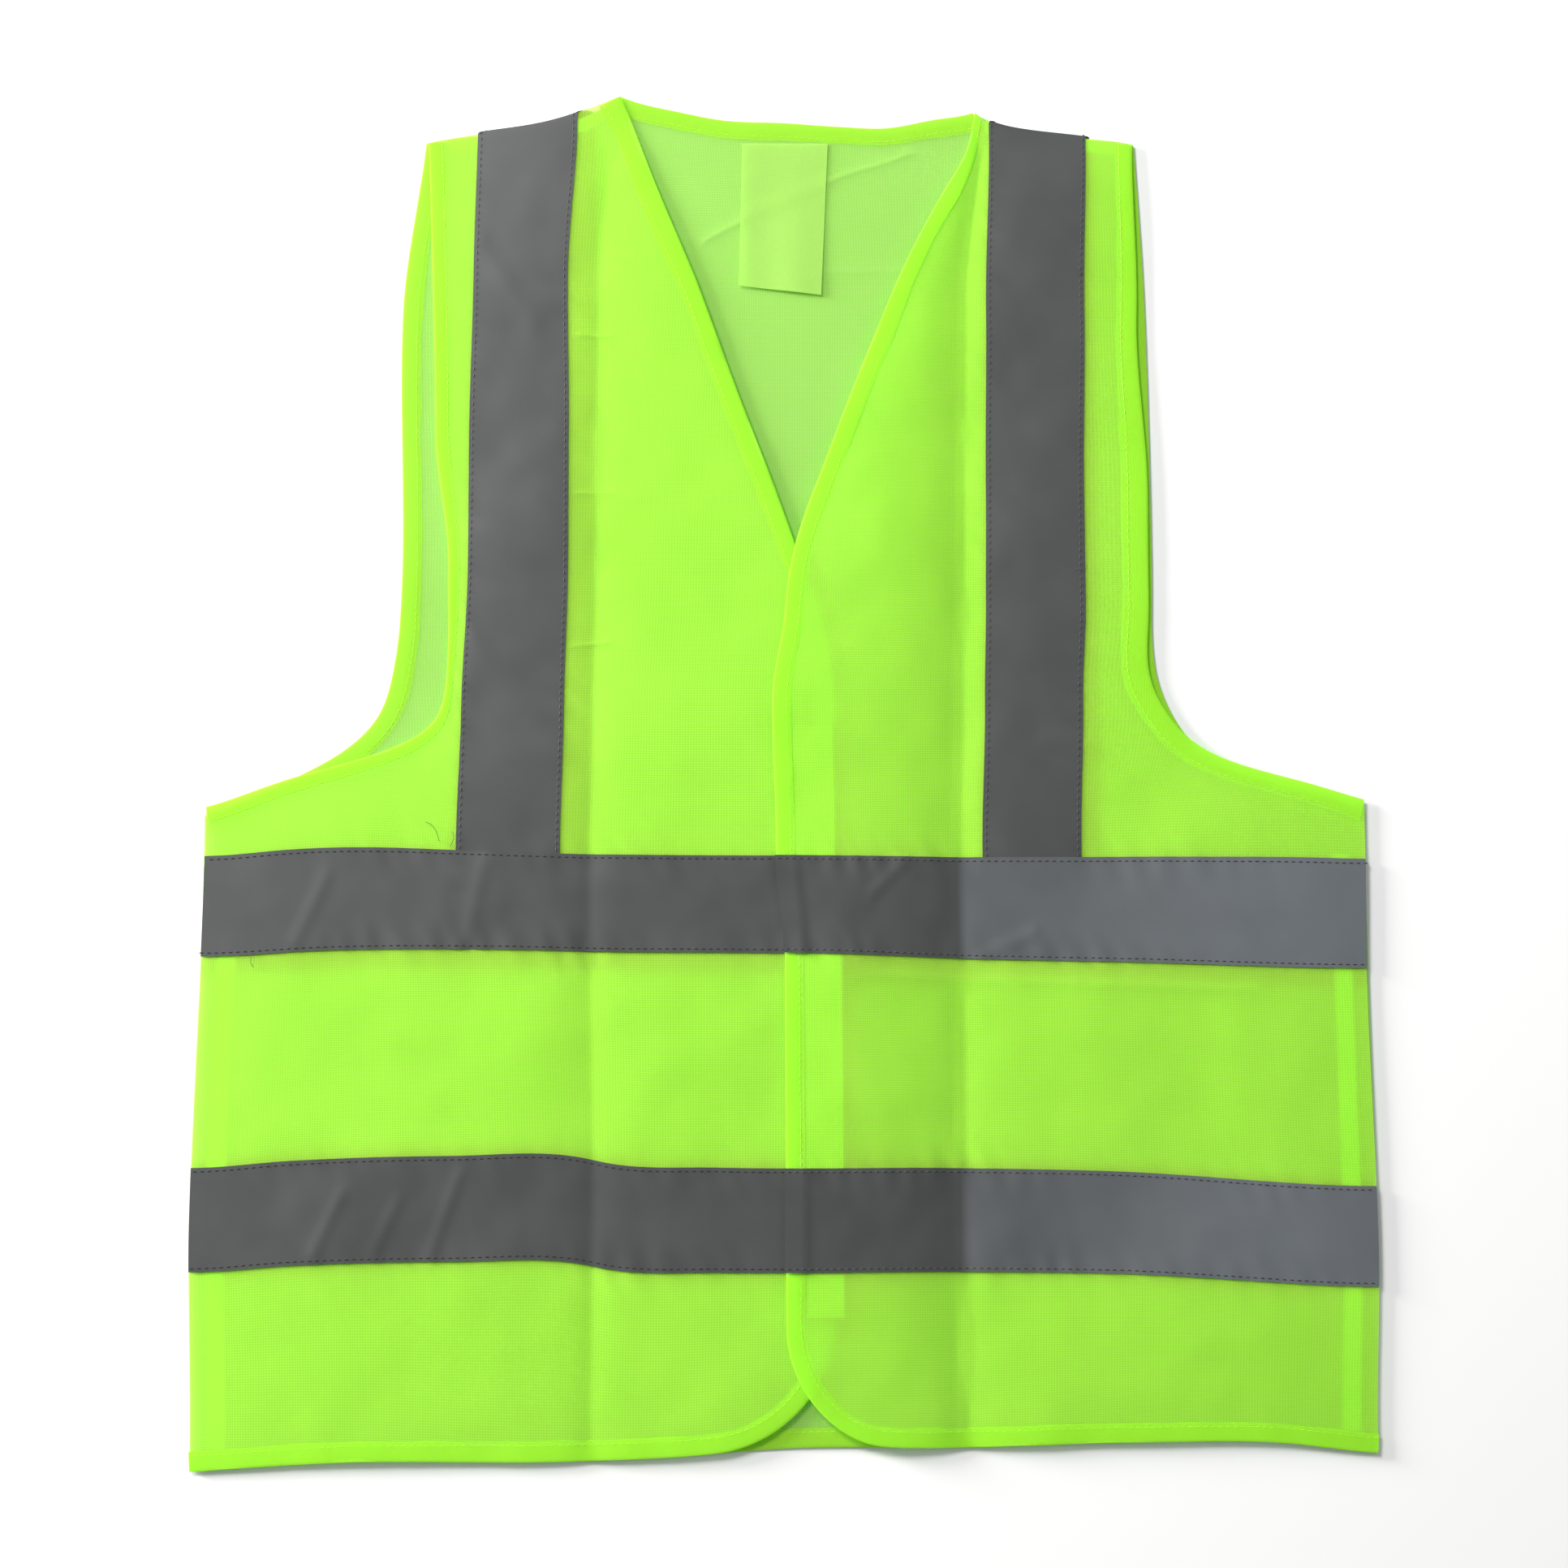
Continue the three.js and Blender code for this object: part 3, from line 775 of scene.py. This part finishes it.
def add(tree, kind, inputs=None, **settings):
    """A node with its settings, and its inputs each set to a value or linked from a socket."""
    node = tree.nodes.new(kind)
    for key, value in settings.items():
        setattr(node, key, value)
    for key, value in (inputs or {}).items():
        socket = node.inputs[key]
        if isinstance(value, bpy.types.NodeSocket):
            tree.links.new(value, socket)
        else:
            socket.default_value = (*value, 1) if socket.type == "RGBA" else value
    return node


def maths(tree, operation, *values):
    return add(tree, "ShaderNodeMath", dict(enumerate(values)), operation=operation).outputs[0]


def cloth_axes(tree):
    vector = add(tree, "ShaderNodeAttribute", attribute_name="cloth").outputs["Vector"]
    split = add(tree, "ShaderNodeSeparateXYZ", {0: vector})
    return vector, split.outputs["X"], split.outputs["Y"]


def ribs(tree, axis, pitch):
    """From 0 to 1 and back once in each pitch, in metres, along an axis."""
    wave = maths(tree, "SINE", maths(tree, "MULTIPLY", axis, 2 * math.pi / pitch))
    return maths(tree, "MULTIPLY_ADD", wave, 0.5, 0.5)


def blended(tree, first, second, share):
    """The given share of the first value and the rest of the second."""
    rest = maths(tree, "MULTIPLY", second, 1 - share)
    return maths(tree, "ADD", maths(tree, "MULTIPLY", first, share), rest)


def noise_at(tree, vector, scale, detail=3.0):
    inputs = {"Vector": vector, "Scale": scale, "Detail": detail}
    return add(tree, "ShaderNodeTexNoise", inputs).outputs["Fac"]


def scaled(tree, value, low, high):
    inputs = {"Value": value, "To Min": low, "To Max": high}
    return add(tree, "ShaderNodeMapRange", inputs).outputs["Result"]


def between(tree, value, start, end, low, high):
    """low up to start, high from end on, and a smooth step between them."""
    inputs = {"Value": value, "From Min": start, "From Max": end, "To Min": low, "To Max": high}
    return add(tree, "ShaderNodeMapRange", inputs, interpolation_type="SMOOTHSTEP").outputs["Result"]


# A Mix node's colour sockets.
MIX_FACTOR, MIX_FIRST, MIX_SECOND, MIX_RESULT = 0, 6, 7, 2


def two_colours(tree, factor, low, high):
    """low where the factor is 0 and high where it is 1, each a colour or a socket."""
    inputs = {MIX_FACTOR: factor, MIX_FIRST: low, MIX_SECOND: high}
    return add(tree, "ShaderNodeMix", inputs, data_type="RGBA").outputs[MIX_RESULT]


def bump_of(tree, value, distance, strength):
    inputs = {"Height": value, "Distance": distance, "Strength": strength}
    return add(tree, "ShaderNodeBump", inputs).outputs["Normal"]


def mixed(tree, factor, first, second):
    return add(tree, "ShaderNodeMixShader", {0: factor, 1: first.outputs[0], 2: second.outputs[0]})


def finish_with(tree, shader):
    add(tree, "ShaderNodeOutputMaterial", {"Surface": shader.outputs[0]})


# Scales of noise, in features to the metre.
DYE_PATCHES, YARN_SPECKS, TAPE_WEAR, TAPE_BEADS = 14.0, 420.0, 22.0, 2600.0
THREAD_TWIST = 0.0007  # metres from one turn to the next
FLOOR_ALBEDO = 0.7

# Steps across the vest where the tapes turn paler, a painted reflection of the sky: start and end in
# metres, and the share before and after.
PAINTED_REFLECTION_PAST_FOLD = (0.0905, 0.0945, 0.0, 0.3)
PAINTED_REFLECTION_OUTWARDS = (0.09, 0.24, 0.12, 0.6)
# The tape's greys on the wearer's right, and the paler, bluer greys of a painted reflection of the sky,
# blended in more and more towards the wearer's left.
NEAR_GREYS = (0.029, 0.0305, 0.029), (0.054, 0.056, 0.053)
PAINTED_REFLECTION_GREYS = (0.088, 0.098, 0.108), (0.13, 0.143, 0.157)


def lit_cloth(name, surface, inner, cover, through, pitch, sheen=0.04):
    """Knitted cloth lit from both sides.

    surface is the least and greatest colour that it throws back, and inner that it lets through.
    cover is its least and greatest share of yarn, the rest being holes.
    through is the share of the yarn that lets light through, and pitch the ribs' distance in metres.
    """
    material, tree = new_material(name)
    vector, x, y = cloth_axes(tree)
    yarn = maths(tree, "MAXIMUM", ribs(tree, x, pitch), ribs(tree, y, pitch * 0.9))
    fine = noise_at(tree, vector, YARN_SPECKS, 2.0)
    tone = blended(tree, noise_at(tree, vector, DYE_PATCHES), fine, 0.7)
    shader = add(tree, "ShaderNodeBsdfPrincipled", {
        "Base Color": two_colours(tree, tone, *surface),
        "Roughness": scaled(tree, fine, 0.7, 0.9),
        "Sheen Weight": sheen,
        "Sheen Roughness": 0.5,
        "Specular IOR Level": 0.2,
        "Normal": bump_of(tree, yarn, 0.0001, 0.4),
    })
    glow = add(tree, "ShaderNodeBsdfTranslucent", {"Color": two_colours(tree, tone, *inner)})
    holes = add(tree, "ShaderNodeBsdfTransparent")
    solid = mixed(tree, through, shader, glow)
    finish_with(tree, mixed(tree, scaled(tree, yarn, *cover), holes, solid))
    return material


def tape_material():
    """Grey retro-reflective tape: fine beads on a satin backing, a little uneven from handling.

    Beyond the left front's fold line it lies at another slope, and there and further out its colour is
    painted paler and bluer, a painted reflection of the sky.
    """
    material, tree = new_material("reflective_tape")
    vector, x, _ = cloth_axes(tree)
    beads = noise_at(tree, vector, TAPE_BEADS, 1.0)
    wear = noise_at(tree, vector, TAPE_WEAR)
    tone = blended(tree, wear, beads, 0.6)
    # near holds the greys of the wearer's right, far the paler, bluer greys of the painted reflection of
    # the sky.
    near = two_colours(tree, tone, *NEAR_GREYS)
    far = two_colours(tree, tone, *PAINTED_REFLECTION_GREYS)
    # Painted reflection: how much of the paler greys is painted in, past the left fold and further out.
    painted_reflection = maths(tree, "ADD", between(tree, x, *PAINTED_REFLECTION_PAST_FOLD), between(tree, x, *PAINTED_REFLECTION_OUTWARDS))
    shader = add(tree, "ShaderNodeBsdfPrincipled", {
        "Base Color": two_colours(tree, painted_reflection, near, far),
        "Metallic": 0.25,
        "Roughness": scaled(tree, wear, 0.42, 0.58),
        "Specular IOR Level": 0.4,
        "Normal": bump_of(tree, beads, 0.00004, 0.3),
    })
    finish_with(tree, shader)
    return material


def thread_material(name, dark, light):
    material, tree = new_material(name)
    _, x, y = cloth_axes(tree)
    twist = ribs(tree, maths(tree, "ADD", x, y), THREAD_TWIST)
    shader = add(tree, "ShaderNodeBsdfPrincipled", {
        "Base Color": two_colours(tree, twist, dark, light),
        "Roughness": scaled(tree, twist, 0.55, 0.75),
    })
    finish_with(tree, shader)
    return material


def floor_material():
    """Plain matt white, which the lamps and the sky bring close to the picture's white."""
    material, tree = new_material("white_floor")
    colour = (FLOOR_ALBEDO, FLOOR_ALBEDO, FLOOR_ALBEDO)
    finish_with(tree, add(tree, "ShaderNodeBsdfPrincipled", {"Base Color": colour, "Roughness": 0.9}))
    return material


FRONT_CLOTH = lit_cloth(
    "lime_mesh",
    surface=((0.64, 0.95, 0.12), (0.78, 1.0, 0.16)),
    inner=((0.58, 0.97, 0.25), (0.64, 1.0, 0.31)),
    cover=(0.55, 0.71), through=0.7, pitch=0.0013,
)
# The back is the fronts' knit, coloured darker and duller as painted shade, for the shade that the fronts
# cast on it in the V.
BACK_CLOTH_IN_PAINTED_SHADE = lit_cloth(
    "lime_mesh_back_painted_shade",
    surface=((0.5, 0.74, 0.16), (0.6, 0.82, 0.22)),
    inner=((0.39, 0.75, 0.22), (0.45, 0.83, 0.27)),
    cover=(0.56, 0.74), through=0.64, pitch=0.0013,
)
BINDING_CLOTH = lit_cloth(
    "lime_binding",
    surface=((0.56, 0.88, 0.06), (0.66, 0.96, 0.09)),
    inner=((0.5, 0.93, 0.1), (0.58, 1.0, 0.15)),
    cover=(0.7, 0.84), through=0.66, pitch=0.0009,
)
SEAM_CLOTH = lit_cloth(
    "lime_seam",
    surface=((0.5, 0.9, 0.04), (0.6, 0.98, 0.06)),
    inner=((0.45, 0.92, 0.06), (0.54, 1.0, 0.1)),
    cover=(0.9, 0.98), through=0.45, pitch=0.0013,
)
PILE = lit_cloth(
    "lime_pile",
    surface=((0.37, 0.74, 0.01), (0.46, 0.82, 0.02)),
    inner=((0.36, 0.84, 0.02), (0.45, 0.92, 0.03)),
    cover=(0.95, 1.0), through=0.45, pitch=0.0008, sheen=0.1,
)
LABEL_CLOTH = lit_cloth(
    "label_cloth",
    surface=((0.56, 0.8, 0.2), (0.64, 0.88, 0.27)),
    inner=((0.56, 0.86, 0.26), (0.64, 0.94, 0.33)),
    cover=(0.66, 0.8), through=0.6, pitch=0.0006,
)
REFLECTIVE = tape_material()
DARK_THREAD = thread_material("dark_thread", (0.012, 0.012, 0.013), (0.03, 0.03, 0.032))
LIME_THREAD = thread_material("lime_thread", (0.36, 0.66, 0.05), (0.46, 0.76, 0.08))

# ------------ on the vest's body, or left with none


def bends_open(piece):
    """Bakes the piece's place into its mesh; the piece is attached to no body."""
    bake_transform(piece)
    return piece


def stays(piece):
    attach(piece, "vest_body")
    return piece


# ------------ the back

def back_tape(level):
    """A level tape on the outside of the back, which is underneath as the vest lies."""
    y = TAPE_LEVELS[level]
    xs = np.arange(-HALF_WIDTH, HALF_WIDTH + 1, TAPE_STEP * 2)
    share = np.linspace(-0.5, 0.5, BACK_TAPE_ROWS)
    flat = np.array([(x, y + s * TAPE_WIDTH) for x in xs for s in share])
    points = np.column_stack([laid("back", flat), height("back", flat) - CLOTH - SKIN_GAP])
    faces = grid_faces(len(xs), len(share))
    tape = slab(f"back_{level}_band", points, faces, flat, TAPE, REFLECTIVE)
    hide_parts(f"back_{level}_tape")
    rows = [sewn_line("back", [(-HALF_WIDTH, y + s), (HALF_WIDTH, y + s)], -CLOTH - TAPE)
            for s in SEWN_LINES]
    thread = stitches(f"back_{level}_band_stitches", rows, DARK_THREAD)
    return [stays(tape), stays(thread)]


def binding_stitches(name, layer, edge, inward):
    line = even(edge, EDGE_STEP / 2)
    flat = line + left_of(line) * inward * (BINDING_WIDTH - BINDING_STITCH_INSET)
    rows = [sewn_line(layer, flat, BINDING_HALF / 4)]
    return stitches(name, rows, LIME_THREAD, FINE_STITCH_RADIUS)


def make_back():
    cloth = stays(panel("back_cloth", "back", back_outline(), BACK_CLOTH_IN_PAINTED_SHADE))
    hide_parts("back_panel")
    bottom = hem(-HALF_WIDTH, HALF_WIDTH)
    band = stays(binding("back_hem_band", "back", bottom, 1, BINDING_CLOTH))
    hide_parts("back_hem_binding")
    neck = stays(binding("neck_band", "back", back_neck(), -1, BINDING_CLOTH))
    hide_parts("neck_binding")
    extras = [band, neck, stays(binding_stitches("back_hem_stitches", "back", bottom, 1)),
              stays(binding_stitches("neck_stitches", "back", back_neck(), -1))]
    for level in TAPE_LEVELS:
        extras += back_tape(level)


LABEL_COLUMNS, LABEL_ROWS = 14, 24
LABEL_TUCK = 1.5  # how far the label's top is tucked in under the neck binding
LABEL_LIFT = 0.35
LABEL_CURL = 0.9  # how far its free end lifts
LABEL_WAVE, LABEL_WAVE_SIZE = 0.25, 5.0
# How far the free end's middle has moved across and up, and how much further its wearer's left corner has.
LABEL_SKEW = (-2.5, -1.0)
LABEL_TILT = (-0.3, -2.4)


def make_label():
    """A blank label, sewn under the neck binding and a little askew."""
    xs = np.linspace(LABEL_LOW[0], LABEL_HIGH[0], LABEL_COLUMNS)
    down = np.linspace(0, 1, LABEL_ROWS)
    length = LABEL_HIGH[1] - LABEL_LOW[1]
    top = LABEL_HIGH[1] + LABEL_TUCK
    flat = np.array([(x, top - length * d) for d in down for x in xs])
    share = (top - flat[:, 1]) / length
    across = flat[:, 0] / LABEL_HIGH[0]
    skew = share * (LABEL_SKEW[0] + LABEL_SKEW[1] * across)
    tilt = share * (LABEL_TILT[0] + LABEL_TILT[1] * across)
    curl = LABEL_CURL * share ** 3 + LABEL_WAVE * np.sin(flat[:, 0] / LABEL_WAVE_SIZE) * share
    z = back_z(flat) + LABEL_LIFT + LABEL + curl
    points = np.column_stack([flat[:, 0] + skew, flat[:, 1] + tilt, z])
    faces = grid_faces(len(down), len(xs))
    piece = slab("label_cloth", points, faces, flat, LABEL, LABEL_CLOTH)
    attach(piece, "label")
    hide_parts("care_label")


# ------------ the fronts

TAPE_LIFT = 0.62  # from the cloth's top to the tape's
TAPE_LIFT_ON_BINDING = 1.15
TAPE_STEP_UP = 6.0  # the length over which a tape climbs onto a binding


def tape_lift(flat, side):
    """A tape steps up onto the binding at a front's middle edge."""
    edge = OVER_EDGE_X if side > 0 else -UNDER_EDGE_X
    onto = 1 - eased(np.maximum(side * flat[:, 0] - edge - BINDING_WIDTH, 0), TAPE_STEP_UP)
    return TAPE_LIFT_ON_BINDING * onto + TAPE_LIFT * (1 - onto)


def tape_points(layer, flat, side):
    """Where the top of a front's tape lies, at pattern points."""
    return np.column_stack([laid(layer, flat), height(layer, flat) + tape_lift(flat, side)])


def front_tape(side, level):
    """A level tape across a front, over its middle binding and out to the side seam."""
    name = NAME[side]
    y = TAPE_LEVELS[level]
    end = OVER_EDGE_X - TAPE_PAST_EDGE if side > 0 else -STRIP_LOW[0]
    xs = np.linspace(end, HALF_WIDTH, round((HALF_WIDTH - end) / TAPE_STEP)) * side
    share = np.linspace(-0.5, 0.5, TAPE_ROWS)
    flat = np.array([(x, y + s * TAPE_WIDTH) for x in xs for s in share])
    faces = grid_faces(len(xs), len(share))
    if side < 0:
        faces = turned_over(faces)
    tape = slab(f"{name}_front_{level}_band", tape_points(name, flat, side), faces, flat, TAPE, REFLECTIVE)
    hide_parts(f"front_{name}_{level}_side_tape", f"front_{name}_{level}_leaf_tape")
    rows = []
    for s in SEWN_LINES:
        line = even([(xs[0], y + s), (xs[-1], y + s)], TAPE_STEP)
        rows.append((tape_points(name, line, side), np.tile([0, 0, 1], (len(line), 1))))
    thread = stitches(f"{name}_front_{level}_stitches", rows, DARK_THREAD)
    return [bends_open(tape), bends_open(thread)]


def make_front(side):
    name = NAME[side]
    outline = front_outline(side)
    cloth = bends_open(panel(f"{name}_front_cloth", name, outline, FRONT_CLOTH))
    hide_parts(f"front_{name}_side_panel", f"front_{name}_leaf_panel")
    edge = front_edge(side)
    band = bends_open(binding(f"{name}_front_band", name, edge, side, BINDING_CLOTH))
    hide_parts(f"front_{name}_edge_binding", f"front_{name}_hem_binding")
    extras = [band, bends_open(binding_stitches(f"{name}_front_stitches", name, edge, side))]
    for level in TAPE_LEVELS:
        extras += front_tape(side, level)


STRIP_COLUMNS = 9
TUFT, TUFT_SIZE = 0.1, 1.3


def fastener_strip(name, layer, body, low, high, node):
    """A hook or loop strip: a thin tufted slab, from the height low to high over the cloth."""
    xs = np.linspace(STRIP_LOW[0], STRIP_HIGH[0], STRIP_COLUMNS)
    ys = np.arange(STRIP_LOW[1], STRIP_HIGH[1], EDGE_STEP)
    flat = np.array([(x, y) for x in xs for y in ys])
    tuft = TUFT * rough(flat[:, 0], flat[:, 1], TUFT_SIZE, 4.0)
    points = np.column_stack([laid(layer, flat), height(layer, flat) + high + tuft])
    piece = slab(name, points, grid_faces(len(xs), len(ys)), flat, high - low, PILE)
    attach(piece, body)
    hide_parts(node)


def make_fastener():
    """The loop strip on top of the right front, and the hook strip under the left one."""
    over = PILE_GAP
    fastener_strip("loop_pile", "right", "right_front", over, STRIP + over, "loop_strip")
    under = -CLOTH - PILE_GAP
    fastener_strip("hook_pile", "left", "left_front", under - STRIP, under, "hook_strip")


# ------------ shoulders and sides

TURN_STEPS = 8
BRACE_OVERLAP = 4.0  # how far a brace goes in under the upper tape
BRACE_LIFT = 0.32  # from the cloth's top to the brace's
BRACE_BULGE = 1.6  # how far a brace stands out beyond the shoulder


def brace_path(side, x):
    """One line along a brace: up the front, over the shoulder and down the back.

    Gives its points, the way up at each of them, and their places on the tape laid flat.
    """
    foot = TAPE_LEVELS["upper"] + TAPE_WIDTH / 2 - BRACE_OVERLAP
    top = shoulder_y(x)
    ys = np.linspace(foot, top, round((top - foot) / BRACE_STEP))
    flat = np.stack([np.full(len(ys), x), ys], 1)
    name = NAME[side]
    front = np.column_stack([laid(name, flat), height(name, flat) + BRACE_LIFT])
    behind = height("back", flat) - CLOTH - TAPE - SKIN_GAP
    back = np.column_stack([laid("back", flat), behind])[::-1]
    middle, half = (front[-1] + back[0]) / 2, (front[-1] - back[0]) / 2
    turn = np.linspace(0, math.pi, TURN_STEPS + 2)[1:-1]
    over = [middle + math.cos(a) * half + np.array([0, BRACE_BULGE * math.sin(a), 0]) for a in turn]
    ups = [np.array([0, math.sin(a), math.cos(a)]) for a in turn]
    up = np.array([0, 0, 1.0])
    points = np.concatenate([front, over, back])
    normals = np.concatenate([np.tile(up, (len(front), 1)), ups, np.tile(-up, (len(back), 1))])
    across = np.full(len(points), side * x - BRACE_X)
    along = np.linspace(0, 2 * (top - foot), len(points))
    return points, normals, np.stack([across, along], 1)


def even_rows(values, count):
    """A list of rows brought to a given count, by place in the list."""
    old, new = np.arange(len(values)), np.linspace(0, len(values) - 1, count)
    return np.stack([np.interp(new, old, column) for column in values.T], 1)


def make_brace(side):
    """A tape over the shoulder, down to the upper tape on the front and on the back."""
    name = NAME[side]
    xs = np.linspace(BRACE_X - TAPE_WIDTH / 2, BRACE_X + TAPE_WIDTH / 2, TAPE_ROWS) * side
    rows = 2 * round((shoulder_y(BRACE_X) - TAPE_LEVELS["upper"]) / BRACE_STEP)
    lines = [[even_rows(values, rows) for values in brace_path(side, x)] for x in xs]
    points, ups, flat = (np.concatenate(values) for values in zip(*lines))
    faces = grid_faces(len(xs), rows)
    if side < 0:
        faces = turned_over(faces)
    tape = stays(slab(f"{name}_brace_band", points, faces, flat, TAPE, REFLECTIVE, ups))
    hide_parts(f"{name}_brace_tape")
    threads = [brace_path(side, (BRACE_X + s) * side)[:2] for s in SEWN_LINES]
    stays(stitches(f"{name}_brace_stitches", threads, DARK_THREAD))


def make_armhole(side):
    """The armhole's binding: one strand along the front's edge and one along the back's."""
    name = NAME[side]
    strands = [(kind, layer, mirrored(armhole(kind), side))
               for kind, layer in (("front", name), ("back", "back"))]
    for kind, layer, edge in strands:
        strand = stays(binding(f"{name}_armhole_{kind}_band", layer, edge, -side, BINDING_CLOTH))
        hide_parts(f"{name}_armhole_binding")
    for kind, layer, edge in strands:
        stays(binding_stitches(f"{name}_armhole_{kind}_stitches", layer, edge, -side))


SEAM_COLUMNS = 4
SEAM_LIFT = 0.35  # over the back's cloth
SEAM_DROP = 0.75  # the most that it lies under the fronts' side
SEAM_END_GAP = 1.0  # from a shoulder seam's end to the binding


def seam_strip(name, line, width, inward, node):
    """A seam allowance between the back and a front."""
    line = even(line, EDGE_STEP)
    side = left_of(line) * inward
    share = np.linspace(0, 1, SEAM_COLUMNS)
    flat = np.array([p + s * w * width for p, s in zip(line, side) for w in share])
    z = np.maximum(back_z(flat) + SEAM_LIFT, SIDE_Z - SEAM_DROP)
    points = np.column_stack([laid("back", flat), z])
    faces = grid_faces(len(line), len(share))
    if inward < 0:
        faces = turned_over(faces)
    piece = stays(slab(name, points, faces, flat, CLOTH, SEAM_CLOTH))
    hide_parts(node)


def make_seams(side):
    name = NAME[side]
    x = side * (SEAM_HIGH[0] - SIDE_SEAM_IN)
    line = [(x, SEAM_LOW[1]), (x, SEAM_HIGH[1])]
    width = SEAM_HIGH[0] - SEAM_LOW[0]
    seam_strip(f"{name}_side_allowance", line, width, side, f"{name}_side_seam")
    past_binding = BINDING_WIDTH + SEAM_END_GAP
    near, far = NECK_X + past_binding, SHOULDER_X - past_binding
    line = [(side * near, shoulder_y(near)), (side * far, shoulder_y(far))]
    seam_strip(f"{name}_shoulder_allowance", line, SHOULDER_SEAM_WIDTH, -side, f"{name}_shoulder_seam")


def make_floor():
    mesh = bpy.data.meshes.new("floor")
    h = FLOOR_HALF
    mesh.from_pydata([(-h, -h, 0), (h, -h, 0), (h, h, 0), (-h, h, 0)], [], [(0, 1, 2, 3)])
    mesh.materials.append(floor_material())
    placed("floor", mesh)


make_camera()
make_light()
make_floor()
make_back()
make_label()
for side in SIDES:
    make_front(side)
    make_brace(side)
    make_armhole(side)
    make_seams(side)
make_fastener()
make_loose_ends()
